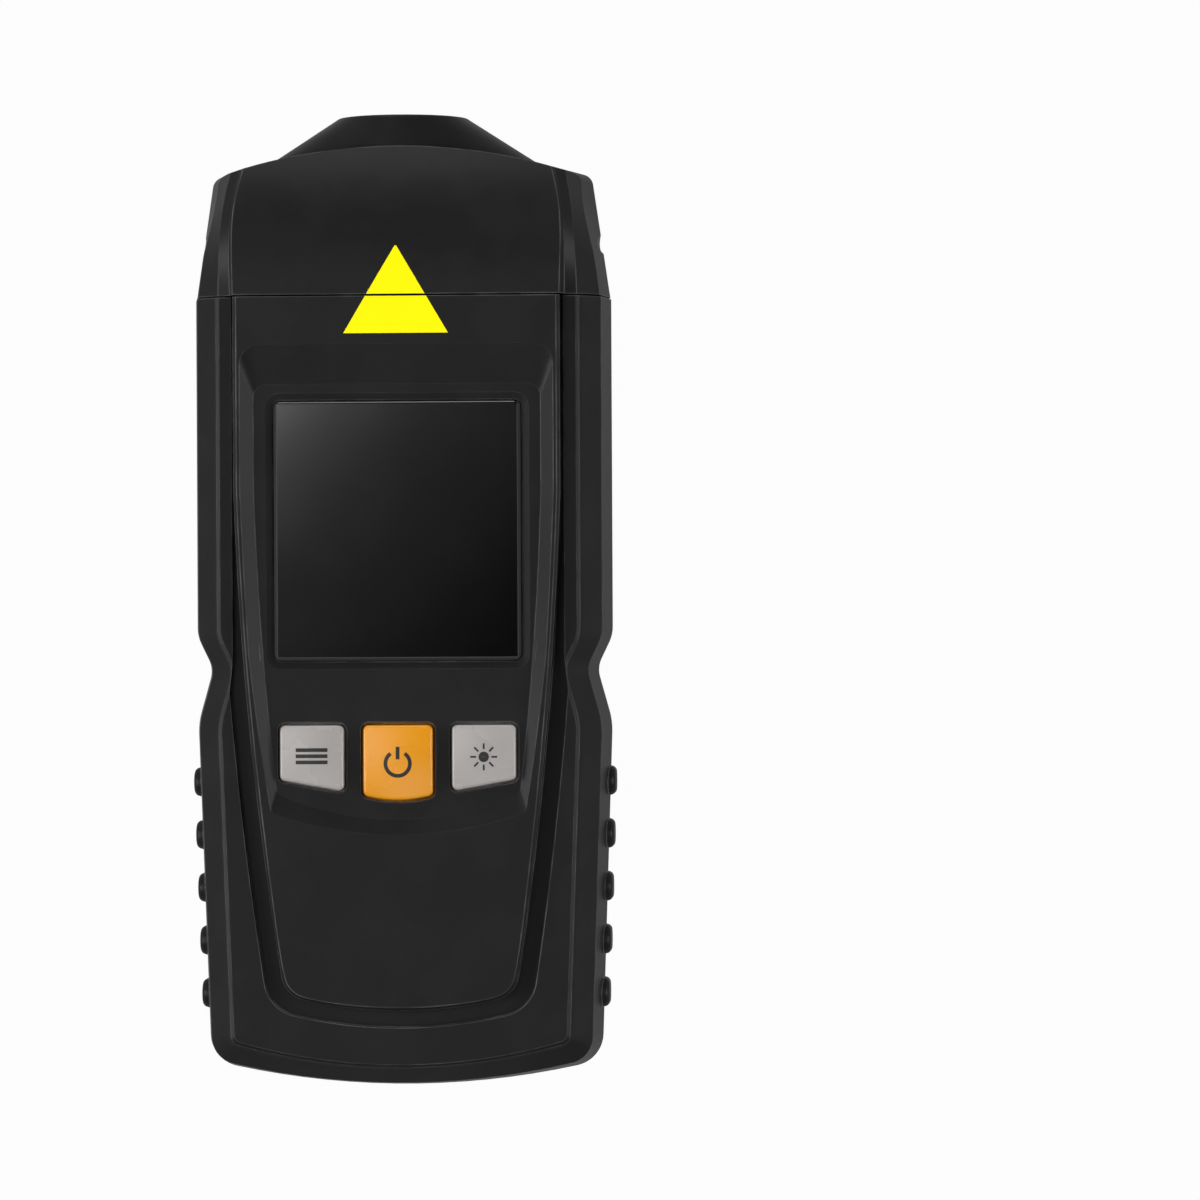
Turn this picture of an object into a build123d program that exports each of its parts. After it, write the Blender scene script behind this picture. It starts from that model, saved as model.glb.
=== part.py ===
"""Handheld optical tachometer, lying on its back.

X is the width, Y the length with the nose at +Y, Z the depth with the display facing up.
The back lies in the plane Z = 0, and all sizes are in millimetres.
"""

import os
from math import sqrt

from build123d import *

# Overall form
LENGTH = 160.0
DEPTH = 37.0
BOTTOM_Y = -LENGTH / 2
NOSE_Y = LENGTH / 2
SEAM_Y = 49.8
PARTING_Z = 19.5
WALL = 2.0
FIT = 0.15

# Plan outline of the case at the parting plane, its widest section
HALF_WIDTH = 34.5
END_HALF_WIDTH = 32.5
GRIP_STEP = 0.1
GRIP_TOP_Y = -20.0
WAIST_HALF_WIDTH = 32.2
WAIST_Y = -11.3
WAIST_FLAT = 1.6
WAIST_TOP_Y = -5.7
SIDE_RADII = [12, 4, 4, 6]
CORNER_R = 5.5
CORNER_MIN_R = 0.8
BOTTOM_SAG = 4.0
END_SHARE = 0.8

# Levels up the side wall, each a height and how far its section is drawn in
BACK_LEVELS = ((0, 3.0), (1.4, 1.7), (PARTING_Z, 0))
RIM_Z = 30.0
RIM_INSET = 1.3
EDGE_LEVELS = ((33.1, 4.3), (33.65, 4.75), (33.9, 5.3))

# Raised panel of the front, straight above and drawn in towards the lower end
PANEL_HALF = 26.7
PANEL_TOP_Z = 36.9
PANEL_TAPER_Y = 18.0
PANEL_MIDDLE = (23.9, -25.0)
PANEL_CORNER = (18.9, -64.4)
PANEL_END_Y = -66.9
PANEL_CORNER_R = 4.8
PANEL_SLOPE_Y = -9.0
PANEL_DROP = 2.6
PANEL_EDGE = 0.55
PANEL_WALL = 1.5

# Groove round the panel: a thin line above the waist, a channel below it
GROOVE_LINE = 0.45
GROOVE_TOP_Y = -9.5
GROOVE_SHOULDER = (27.7, -14.8)
GROOVE_MIDDLE = (25.3, -39.6)
GROOVE_CORNER = (21.6, -66.6)
GROOVE_END_Y = -69.7
GROOVE_CORNER_R = 6.4
GROOVE_FLOOR_Z = 32.4

# Sunk field that holds the display and the keys
FIELD_DEPTH = 1.6
FIELD_FLOOR_Z = PANEL_TOP_Z - FIELD_DEPTH
FIELD_HALF = 23.5
FIELD_MIDDLE = (22.5, -3.0)
FIELD_END = (19.9, -31.4)
FIELD_END_Y = -35.6
FIELD_END_RAMP = 7.5
FIELD_TOP_Y = 42.0
FIELD_RAMP = 6.5
FIELD_TOP_R = (2.2, 3.4)
FIELD_END_R = 1.5
FIELD_SLOPE = 2.1
FIELD_OVER = 1.2

# Display window and what lies under it
WINDOW = (40.4, 42.4, 1.7)
WINDOW_Y = 11.5
WINDOW_R = 1.1
WINDOW_PROUD = 0.3
WINDOW_EDGE = 0.5
WINDOW_BEVEL = (1.2, 0.35)
WINDOW_LEDGE = 1.8
WINDOW_SEAT_Z = FIELD_FLOOR_Z + WINDOW_PROUD - WINDOW[2]
LCD = (37.0, 38.0, 2.8)
LCD_RIM = 1.2
LCD_LIFT = 2.0
LCD_OPENING = (33.0, 34.0)
STRIP = (32.0, 2.2)

# Keys
KEY_SIDES = {"memory_key": -1, "power_key": 0, "laser_key": 1}
KEY_TOP_Y = -20.2
KEY_PITCH = 14.05
SIDE_KEY_HALF = 5.2
SIDE_KEY_OUTER_Y = -29.1
SIDE_KEY_INNER_Y = -31.0
POWER_KEY_HALF = 5.65
POWER_KEY_CORNER_Y = -31.6
POWER_KEY_END_Y = -32.4
KEY_R = 0.9
KEY_GAP = 0.45
KEY_TOP_Z = 36.9
KEY_DOME_R = 42.0
KEY_EDGE = 0.45
KEY_FLANGE = 1.0
KEY_FLANGE_T = 1.0
KEY_CLEAR = 0.1
KEY_TRAVEL = 0.7
KEY_Y = -25.8
KEY_STEM_R = 2.0

# Inside of the front shell
INNER_RIM_Z = 28.0
INNER_TOP_Z = 33.0
BOARD_T = 1.6
BOARD_Z = INNER_RIM_Z - BOARD_T
BOARD_HALF = 27.0
BOARD_TOP_Y = 46.0
BOARD_END_Y = -52.0
BOARD_SCREWS = ((-22.0, 40.0), (22.0, 40.0), (-18.5, -42.0), (18.5, -42.0))
BOARD_BOSS_R = 2.5
MAT = (40.0, 17.0, 0.9)
MAT_Y = -26.0
DOME_R = 3.0
DOME_H = 1.3
DOME_TAPER = 30
CHIP = (14.0, 14.0, 1.6)
CRYSTAL = (11.0, 4.6, 3.6)
CRYSTAL_PLACE = (14.0, -14.0)

# Grip pads on the side walls
GRIP_COUNT = 5
GRIP_FIRST_Y = -29.8
GRIP_PITCH = 8.75
GRIP_PAD = (9.0, 5.6)
GRIP_PROUD = 0.9
GRIP_ROOT = 1.4
GRIP_TAPER = 16
GRIP_EDGE = 0.9
GRIP_Z = 18.6

# Head cap with the cone of its nose
HEAD_WIDE = (34.4, 31.4)
HEAD_NARROW = (33.4, 27.0)
HEAD_SHOULDER_Y = 70.1
HEAD_END_Y = 74.7
HEAD_CORNER_R = 2.0
HEAD_ROOF_R = 48.0
HEAD_NOTCH = (34.6, 59.1)
HEAD_NOTCH_R = 2.2
SEAM_GROOVE = 0.25
HEAD_WALL = 2.4
HEAD_CAVITY_NARROW = (28.9, 27.4)
HEAD_CAVITY_END_Y = 63.0
HEAD_CAVITY_Z = (2.2, 31.6)

# Sections across the upper head: place along Y, then half width and height of the rim,
# the bumper's edge and the foot of the step, then half width of the face
HEAD_STATIONS = (
    (SEAM_Y, (33.0, 30.0), (29.4, 33.4), (27.3, 34.0), 26.7),
    (54.0, (32.5, 29.8), (29.3, 33.7), (27.4, 34.4), 26.8),
    (58.5, (31.8, 29.5), (29.1, 33.9), (27.4, 35.0), 26.9),
    (62.5, (31.1, 28.6), (28.8, 33.5), (27.3, 34.7), 26.8),
    (68.0, (30.1, 26.6), (28.0, 31.6), (26.5, 32.8), 26.0),
    (75.5, (28.8, 23.2), (26.8, 27.6), (25.3, 28.8), 24.8),
)
NOSE_R = 10.7
NOSE_Z = 18.0
NOSE_BASE_Y = 69.5
NOSE_BASE = (27.1, 12.2)
NOSE_RECESS_R = 8.9
NOSE_RECESS = 2.6
NOSE_EDGE = 0.5
TAB_HALF = 3.6
TAB_T = 3.0
TAB_ROOT = 5.0

# Optics in the head
LENS_Z = NOSE_Z - 2.2
LENS_R = 5.4
LENS_T = 2.2
LENS_CLEAR = 0.05
LENS_SEAT_R = 4.4
LENS_BULGE = 0.8
LENS_RING_T = 1.0
LASER_Z = NOSE_Z + 5.8
LASER_R = 1.3
LASER_BARREL_R = 2.6
LASER_NOZZLE = 6.0
HOLDER = (20.0, 9.0, 22.0)
HOLDER_Y = 62.0
HOLDER_Z = 18.5
SENSOR_BOARD = (23.0, 24.0)
SENSOR_R = 2.5
SENSOR_LENGTH = 4.0
OPTICS_SCREW_X = 8.0
OPTICS_SCREW_BITE = 5.0

# Battery, its bay and its door
BATTERY = (26.5, 46.0, 17.5)
BATTERY_Z = 2.6
BATTERY_END_Y = -74.2
BATTERY_R = 2.0
STUD_PITCH = 12.7
STUD_H = 2.6
STUD_R = 2.8
SOCKET_STUD_R = 3.9
SNAP = (25.0, 3.6, 14.0)
SNAP_GAP = 0.2
PAD_T = 0.8
BAY_CLEAR = 0.5
BAY_WALL = 1.4
DOOR_T = 1.8
DOOR_HALF = 19.6
DOOR_DOVETAIL = 1.3
DOOR_TOP_Y = -22.0
DOOR_GAP = 0.25
DOOR_FLOOR_T = 1.4
DOOR_RIBS = 3
DOOR_RIB_PITCH = 3.0
DOOR_RIB_Y = -33.0
DOOR_RIB = (14.0, 1.2, 0.5)

# Fasteners
CASE_SCREWS = ((-27.5, 42.5), (27.5, 42.5), (-26.4, -47.2), (26.4, -47.2))
BOSS_R = 3.1
TOWER_R = 3.8
SCREW_R = 1.2
SCREW_HEAD_R = 2.3
SCREW_HEAD_T = 1.7
SCREW_SEAT_Z = 9.0
CASE_SCREW_LENGTH = 18.0
BOARD_SCREW_R = 0.9
BOARD_SCREW_HEAD_R = 1.8
BOARD_SCREW_HEAD_T = 1.2
BOARD_SCREW_LENGTH = 5.6
SLOT_W = 0.6

os.makedirs("parts", exist_ok=True)


def case_section(z, inset):
    """Plan outline of the case at one height, drawn in by the inset, and by less at its lower end."""
    half = HALF_WIDTH - inset
    end_half = END_HALF_WIDTH - inset
    waist = WAIST_HALF_WIDTH - inset
    end_y = BOTTOM_Y + END_SHARE * inset
    corner_y = end_y + BOTTOM_SAG
    with BuildSketch(Plane.XY.offset(z)) as section:
        with BuildLine():
            FilletPolyline(
                (end_half, corner_y),
                (half - GRIP_STEP, GRIP_TOP_Y),
                (waist, WAIST_Y - WAIST_FLAT / 2),
                (waist, WAIST_Y + WAIST_FLAT / 2),
                (half, WAIST_TOP_Y),
                (half, SEAM_Y),
                radius=SIDE_RADII,
            )
            mirror(about=Plane.YZ)
            ThreePointArc((-end_half, corner_y), (0, end_y), (end_half, corner_y))
            Line((-half, SEAM_Y), (half, SEAM_Y))
        make_face()
        fillet(section.vertices().group_by(Axis.Y)[0], max(CORNER_R - END_SHARE * inset, CORNER_MIN_R))
    return section.sketch


def case_loft(*levels):
    """Straight-sided body through case sections, each level given as a height and an inset."""
    with BuildPart() as body:
        for lower, upper in zip(levels, levels[1:]):
            add(case_section(*lower))
            add(case_section(*upper))
            loft(ruled=True)
    return body.part


def tapered_outline(z, half, corner, middle, end_y, corner_r, top_y=SEAM_Y, top_r=0):
    """Outline that is straight above and follows an arc in to its rounded lower end."""
    with BuildSketch(Plane.XY.offset(z)) as outline:
        with BuildLine():
            ThreePointArc(corner, middle, (half, PANEL_TAPER_Y))
            Line((half, PANEL_TAPER_Y), (half, top_y))
            mirror(about=Plane.YZ)
            ThreePointArc((-corner[0], corner[1]), (0, end_y), corner)
            Line((-half, top_y), (half, top_y))
        make_face()
        if corner_r:
            fillet(outline.vertices().group_by(Axis.Y)[0], corner_r)
        if top_r:
            fillet(outline.vertices().group_by(Axis.Y)[-1], top_r)
    return outline.sketch


def panel_outline(z, grow):
    """Outline of the raised panel, moved outward by grow."""
    corner = (PANEL_CORNER[0] + grow, PANEL_CORNER[1] - grow)
    middle = (PANEL_MIDDLE[0] + grow, PANEL_MIDDLE[1])
    return tapered_outline(z, PANEL_HALF + grow, corner, middle, PANEL_END_Y - grow, PANEL_CORNER_R)


def groove_outline(z):
    """Outer edge of the groove: beside the panel above the waist, wide of it below."""
    narrow = PANEL_HALF + GROOVE_LINE
    corner_x, corner_y = GROOVE_CORNER
    with BuildSketch(Plane.XY.offset(z)) as outline:
        with BuildLine():
            ThreePointArc(GROOVE_CORNER, GROOVE_MIDDLE, GROOVE_SHOULDER)
            Polyline(GROOVE_SHOULDER, (narrow, GROOVE_TOP_Y), (narrow, SEAM_Y))
            mirror(about=Plane.YZ)
            ThreePointArc((-corner_x, corner_y), (0, GROOVE_END_Y), GROOVE_CORNER)
            Line((-narrow, SEAM_Y), (narrow, SEAM_Y))
        make_face()
        fillet(outline.vertices().group_by(Axis.Y)[0], GROOVE_CORNER_R)
    return outline.sketch


def field_section(level):
    """Outline of the sunk field; level 0 is its floor and level 1 the panel's surface."""
    spread = FIELD_SLOPE * level
    fall = FIELD_END_RAMP * level
    floor_r, top_r = FIELD_TOP_R
    return tapered_outline(
        FIELD_FLOOR_Z + FIELD_DEPTH * level,
        FIELD_HALF + spread,
        (FIELD_END[0] + spread, FIELD_END[1] - fall),
        (FIELD_MIDDLE[0] + spread, FIELD_MIDDLE[1]),
        FIELD_END_Y - fall,
        FIELD_END_R,
        FIELD_TOP_Y - FIELD_RAMP * (1 - level),
        floor_r + (top_r - floor_r) * level,
    )


def key_outline(name, z, grow=0.0):
    """Outline of a key: bowed below on the middle one, slanting below on those beside it."""
    side = KEY_SIDES[name]
    centre = side * KEY_PITCH
    with BuildSketch(Plane.XY.offset(z)) as outline:
        with BuildLine():
            if side:
                outer_x = centre + side * SIDE_KEY_HALF
                inner_x = centre - side * SIDE_KEY_HALF
                Polyline((outer_x, SIDE_KEY_OUTER_Y), (outer_x, KEY_TOP_Y), (inner_x, KEY_TOP_Y))
                Polyline((inner_x, KEY_TOP_Y), (inner_x, SIDE_KEY_INNER_Y), (outer_x, SIDE_KEY_OUTER_Y))
            else:
                left = (-POWER_KEY_HALF, POWER_KEY_CORNER_Y)
                right = (POWER_KEY_HALF, POWER_KEY_CORNER_Y)
                Polyline(left, (left[0], KEY_TOP_Y), (right[0], KEY_TOP_Y), right)
                ThreePointArc(left, (0, POWER_KEY_END_Y), right)
        make_face()
        fillet(outline.vertices(), KEY_R)
        if grow:
            offset(amount=grow, mode=Mode.REPLACE)
    return outline.sketch


def panel_stretch(y0, y1, drop):
    """Stretch of the raised panel with bevelled edges, its top lower by drop at the y0 end."""
    base_z = GROOVE_FLOOR_Z - WALL
    with BuildPart() as stretch:
        add(panel_outline(base_z, 0))
        extrude(amount=PANEL_TOP_Z - base_z)
        with BuildSketch(Plane.YZ.offset(-HALF_WIDTH)):
            with BuildLine():
                Polyline((y0, base_z), (y1, base_z), (y1, PANEL_TOP_Z), (y0, PANEL_TOP_Z - drop), close=True)
            make_face()
        extrude(amount=2 * HALF_WIDTH, mode=Mode.INTERSECT)
        top = stretch.faces().sort_by(Axis.Z)[-1]
        ends = top.edges().filter_by(Axis.X)
        chamfer([edge for edge in top.edges() if edge not in ends], PANEL_EDGE)
    return stretch.part


def side_wall_x(y):
    """Half width of the case at the parting plane along the grip."""
    share = (GRIP_TOP_Y - y) / (GRIP_TOP_Y - BOTTOM_Y - BOTTOM_SAG)
    top = HALF_WIDTH - GRIP_STEP
    return top - share * (top - END_HALF_WIDTH)


def grip_pad(y):
    """One pad of the right side wall, rounded over its outer edge."""
    with BuildPart() as pad:
        with BuildSketch(Plane.YZ.offset(side_wall_x(y) - GRIP_ROOT)):
            with Locations((y, GRIP_Z)):
                SlotOverall(*GRIP_PAD, rotation=90)
        extrude(amount=GRIP_ROOT + GRIP_PROUD, taper=GRIP_TAPER)
        fillet(pad.faces().sort_by(Axis.X)[-1].edges(), GRIP_EDGE)
    return pad.part


def grip_pads(z0, z1):
    """Pads along both sides of the grip, the part of them between two heights."""
    with BuildPart() as pads:
        for index in range(GRIP_COUNT):
            add(grip_pad(GRIP_FIRST_Y - index * GRIP_PITCH))
        mirror(about=Plane.YZ)
        with BuildSketch(Plane.XY.offset(z0)):
            Rectangle(3 * HALF_WIDTH, LENGTH)
        extrude(amount=z1 - z0, mode=Mode.INTERSECT)
    return pads.part


def head_section(z, halves, inset=0.0, end_trim=0.0):
    """Plan outline of the head at one height: half widths at the seam and the shoulder, arched end."""
    half = halves[0] - inset
    shoulder = (halves[1] - inset, HEAD_SHOULDER_Y - end_trim)
    with BuildSketch(Plane.XY.offset(z)) as section:
        with BuildLine():
            Polyline((-shoulder[0], shoulder[1]), (-half, SEAM_Y), (half, SEAM_Y), shoulder)
            ThreePointArc(shoulder, (0, HEAD_END_Y - end_trim), (-shoulder[0], shoulder[1]))
        make_face()
        fillet(section.vertices().group_by(Axis.Y)[-1], HEAD_CORNER_R)
    return section.sketch


def across(y):
    """Plane across the case at one place along Y; its own x and y are X and Z, its normal is +Y."""
    return Plane(origin=(0, y, 0), x_dir=(-1, 0, 0), z_dir=(0, 1, 0))


def roof_z(y):
    """Height of the head's face, an arc that leaves the seam level and falls towards the nose."""
    return DEPTH - HEAD_ROOF_R + sqrt(HEAD_ROOF_R**2 - (y - SEAM_Y) ** 2)


def parting_half(y):
    """Half width of the head at the parting plane."""
    share = (y - SEAM_Y) / (HEAD_SHOULDER_Y - SEAM_Y)
    return HEAD_WIDE[0] - share * (HEAD_WIDE[0] - HEAD_WIDE[1])


def across_section(y, corners, inset=0.0):
    """Section across the case from the half widths and heights of its corners, drawn in by the inset."""
    with BuildSketch(across(y)) as section:
        with BuildLine():
            Polyline(*corners, *[(-x, z) for x, z in reversed(corners)], close=True)
        make_face()
        if inset:
            offset(amount=-inset, kind=Kind.INTERSECTION, mode=Mode.REPLACE)
    return section.sketch


def station_corners(y, rim, bumper, step, face_half):
    """Corners of a section across the upper head, from the parting plane up to the face."""
    return [(parting_half(y), PARTING_Z), rim, bumper, step, (face_half, roof_z(y))]


def block(plane, centre, size, amount):
    """Block raised from a rectangle on a plane."""
    with BuildSketch(plane) as base:
        with Locations(centre):
            Rectangle(*size)
    extrude(base.sketch, amount=amount)


def bore(centre, radius, y, depth):
    """Round hole sunk towards -Y from one place along Y, its centre given as X and Z."""
    with BuildSketch(across(y)) as base:
        with Locations(centre):
            Circle(radius)
    extrude(base.sketch, amount=-depth, mode=Mode.SUBTRACT)


def span(half, y_range, z_range, mode=Mode.ADD):
    """Block of a half width about the middle of the case, between two places along Y and two heights."""
    with BuildSketch(Plane.XY.offset(z_range[0])) as base:
        with Locations((0, (y_range[0] + y_range[1]) / 2)):
            Rectangle(2 * half, y_range[1] - y_range[0])
    extrude(base.sketch, amount=z_range[1] - z_range[0], mode=mode)


def door_prism(grow):
    """Dovetailed prism of the battery door, or with grow the way cut for it in the shell."""
    lean = DOOR_DOVETAIL / DOOR_T
    low = DOOR_HALF + grow - lean * grow
    high = DOOR_HALF + DOOR_DOVETAIL + grow + lean * grow
    top_z = DOOR_T + grow
    with BuildPart() as prism:
        with BuildSketch(across(BOTTOM_Y - 1)):
            with BuildLine():
                Polyline((-low, -grow), (low, -grow), (high, top_z), (-high, top_z), close=True)
            make_face()
        extrude(amount=DOOR_TOP_Y + grow - BOTTOM_Y + 1)
    return prism.part


def screw(length, radius, head_r, head_t):
    """Screw turned about Z: head below the origin, shank above it, cross recess in the head."""
    with BuildPart() as turned:
        with BuildSketch(Plane.XZ):
            with BuildLine():
                Polyline(
                    (0, -head_t),
                    (head_r * 0.8, -head_t),
                    (head_r, 0),
                    (radius, 0),
                    (radius, length - radius),
                    (0, length),
                    close=True,
                )
            make_face()
        revolve(axis=Axis.Z)
        with BuildSketch(Plane.XY.offset(-head_t)):
            Rectangle(head_r * 1.3, SLOT_W)
            Rectangle(SLOT_W, head_r * 1.3)
        extrude(amount=head_t / 2, mode=Mode.SUBTRACT)
    return turned.part


def save(part, name):
    """Label a finished piece and write it."""
    part.label = name
    export_step(part, f"parts/{name}.step")


# Raised panel, level over the display and falling away gently towards the lower end
upper_panel = panel_stretch(PANEL_SLOPE_Y, SEAM_Y, 0)
lower_panel = panel_stretch(BOTTOM_Y, PANEL_SLOPE_Y, PANEL_DROP)

# Front shell: outer form, groove, panel, sunk field, openings, hollow inside and bosses
front_form = case_loft((PARTING_Z, 0), (RIM_Z, RIM_INSET), *EDGE_LEVELS)
front_pads = grip_pads(PARTING_Z, DEPTH)
inner_inset = WALL + RIM_INSET * (INNER_RIM_Z - PARTING_Z) / (RIM_Z - PARTING_Z)
front_hollow = case_loft((PARTING_Z, WALL), (INNER_RIM_Z, inner_inset))

with BuildPart() as front_shell:
    add(front_form)
    add(groove_outline(GROOVE_FLOOR_Z))
    extrude(amount=DEPTH, mode=Mode.SUBTRACT)
    add(upper_panel)
    add(lower_panel)
    add(front_pads)
    add(field_section(0))
    add(field_section(FIELD_OVER))
    loft(ruled=True, mode=Mode.SUBTRACT)
    add(front_hollow, mode=Mode.SUBTRACT)
    add(panel_outline(INNER_RIM_Z, -PANEL_WALL))
    extrude(amount=INNER_TOP_Z - INNER_RIM_Z, mode=Mode.SUBTRACT)
    with BuildSketch(Plane.XY.offset(WINDOW_SEAT_Z)):
        with Locations((0, WINDOW_Y)):
            RectangleRounded(WINDOW[0] + 2 * FIT, WINDOW[1] + 2 * FIT, WINDOW_R + FIT)
    extrude(amount=WALL * 2, mode=Mode.SUBTRACT)
    bevel_w, bevel_t = WINDOW_BEVEL
    for spread, z in ((FIT, FIELD_FLOOR_Z - bevel_t), (FIT + 2 * bevel_w, FIELD_FLOOR_Z + bevel_t)):
        with BuildSketch(Plane.XY.offset(z)):
            with Locations((0, WINDOW_Y)):
                RectangleRounded(WINDOW[0] + 2 * spread, WINDOW[1] + 2 * spread, WINDOW_R + spread)
    loft(ruled=True, mode=Mode.SUBTRACT)
    with BuildSketch(Plane.XY.offset(INNER_RIM_Z)):
        with Locations((0, WINDOW_Y)):
            Rectangle(WINDOW[0] - 2 * WINDOW_LEDGE, WINDOW[1] - 2 * WINDOW_LEDGE)
    extrude(amount=DEPTH - INNER_RIM_Z, mode=Mode.SUBTRACT)
    for key in KEY_SIDES:
        add(key_outline(key, INNER_RIM_Z, KEY_GAP))
        extrude(amount=DEPTH - INNER_RIM_Z, mode=Mode.SUBTRACT)
    for x, y in CASE_SCREWS:
        boss_z = PARTING_Z if y < 0 else PARTING_Z + TAB_T / 2
        with BuildSketch(Plane.XY.offset(boss_z)):
            with Locations((x, y)):
                Circle(BOSS_R)
        extrude(amount=INNER_RIM_Z - boss_z)
    with BuildSketch(Plane.XY.offset(PARTING_Z)):
        with Locations(*CASE_SCREWS):
            Circle(SCREW_R)
    extrude(amount=SCREW_SEAT_Z + CASE_SCREW_LENGTH - PARTING_Z, mode=Mode.SUBTRACT)
    with BuildSketch(Plane.XY.offset(INNER_RIM_Z)):
        with Locations(*BOARD_SCREWS):
            Circle(BOARD_BOSS_R)
    extrude(amount=INNER_TOP_Z - INNER_RIM_Z)
    with BuildSketch(Plane.XY.offset(INNER_RIM_Z)):
        with Locations(*BOARD_SCREWS):
            Circle(BOARD_SCREW_R)
    extrude(amount=BOARD_SCREW_LENGTH - BOARD_T, mode=Mode.SUBTRACT)
save(front_shell.part, "front_shell")

# Head cap: sections across it under an arched face, arched end, seam groove, nose, hollow and tabs
recess_y = NOSE_Y - NOSE_RECESS
cavity_trim = HEAD_END_Y - HEAD_CAVITY_END_Y
back_corners = [(HEAD_WIDE[0] - inset, z) for z, inset in BACK_LEVELS[:2]]
seam_corners = back_corners + station_corners(*HEAD_STATIONS[0])
with BuildPart() as head_crown:
    for station in HEAD_STATIONS:
        add(across_section(station[0], station_corners(*station)))
    loft()
    add(head_section(PARTING_Z, HEAD_WIDE))
    add(head_section(DEPTH, HEAD_NARROW))
    loft(ruled=True, mode=Mode.INTERSECT)

with BuildPart() as seam_ring:
    with BuildSketch(across(SEAM_Y)) as ring:
        Rectangle(3 * HALF_WIDTH, 3 * DEPTH)
        add(across_section(SEAM_Y, seam_corners, SEAM_GROOVE), mode=Mode.SUBTRACT)
    extrude(amount=SEAM_GROOVE)

with BuildPart() as head_cap:
    for lower, upper in zip(BACK_LEVELS, BACK_LEVELS[1:]):
        for z, inset in (lower, upper):
            add(head_section(z, HEAD_WIDE, inset, inset / 2))
        loft(ruled=True)
    add(head_crown.part)
    with BuildSketch(Plane.XY):
        with Locations((-HEAD_NOTCH[0], HEAD_NOTCH[1]), HEAD_NOTCH):
            Circle(HEAD_NOTCH_R)
    extrude(amount=RIM_Z, mode=Mode.SUBTRACT)
    add(seam_ring.part, mode=Mode.SUBTRACT)
    with BuildSketch(across(NOSE_BASE_Y)):
        with Locations((0, NOSE_Z)):
            Ellipse(*NOSE_BASE)
    with BuildSketch(across(NOSE_Y)):
        with Locations((0, NOSE_Z)):
            Circle(NOSE_R)
    loft()
    fillet(head_cap.edges().sort_by(Axis.Y)[-1], NOSE_EDGE)
    add(head_section(HEAD_CAVITY_Z[0], HEAD_WIDE, HEAD_WALL + BACK_LEVELS[1][1], cavity_trim))
    add(head_section(PARTING_Z, HEAD_WIDE, HEAD_WALL, cavity_trim))
    loft(ruled=True, mode=Mode.SUBTRACT)
    add(head_section(PARTING_Z, HEAD_WIDE, HEAD_WALL, cavity_trim))
    add(head_section(HEAD_CAVITY_Z[1], HEAD_CAVITY_NARROW, HEAD_WALL, cavity_trim))
    loft(ruled=True, mode=Mode.SUBTRACT)
    block(across(HOLDER_Y), (0, HOLDER_Z), (HOLDER[0] + 2, HOLDER[2] + 2), HEAD_CAVITY_END_Y - HOLDER_Y + 1)
    bore((0, NOSE_Z), NOSE_RECESS_R, NOSE_Y, NOSE_RECESS)
    bore((0, LENS_Z), LENS_R + LENS_CLEAR, recess_y, LENS_T)
    bore((0, LENS_Z), LENS_SEAT_R, recess_y, recess_y - HOLDER_Y)
    bore((0, LASER_Z), LASER_R + FIT, recess_y, recess_y - HOLDER_Y)
    for side in (-1, 1):
        bore((side * OPTICS_SCREW_X, HOLDER_Z), BOARD_SCREW_R, HOLDER_Y + OPTICS_SCREW_BITE, OPTICS_SCREW_BITE)
    for x, y in CASE_SCREWS[:2]:
        side = 1 if x > 0 else -1
        with BuildSketch(Plane.XY.offset(PARTING_Z - TAB_T / 2)):
            with Locations((x, y)):
                Circle(TAB_HALF)
            with Locations((x, (y + SEAM_Y + TAB_ROOT) / 2)):
                Rectangle(2 * TAB_HALF, SEAM_Y + TAB_ROOT - y)
            with Locations((x + side * TAB_HALF / 2, SEAM_Y + TAB_ROOT / 2)):
                Rectangle(2 * TAB_HALF, TAB_ROOT)
            with Locations((x, y)):
                Circle(SCREW_R + FIT, mode=Mode.SUBTRACT)
        extrude(amount=TAB_T)
save(head_cap.part, "head_cap")

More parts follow.
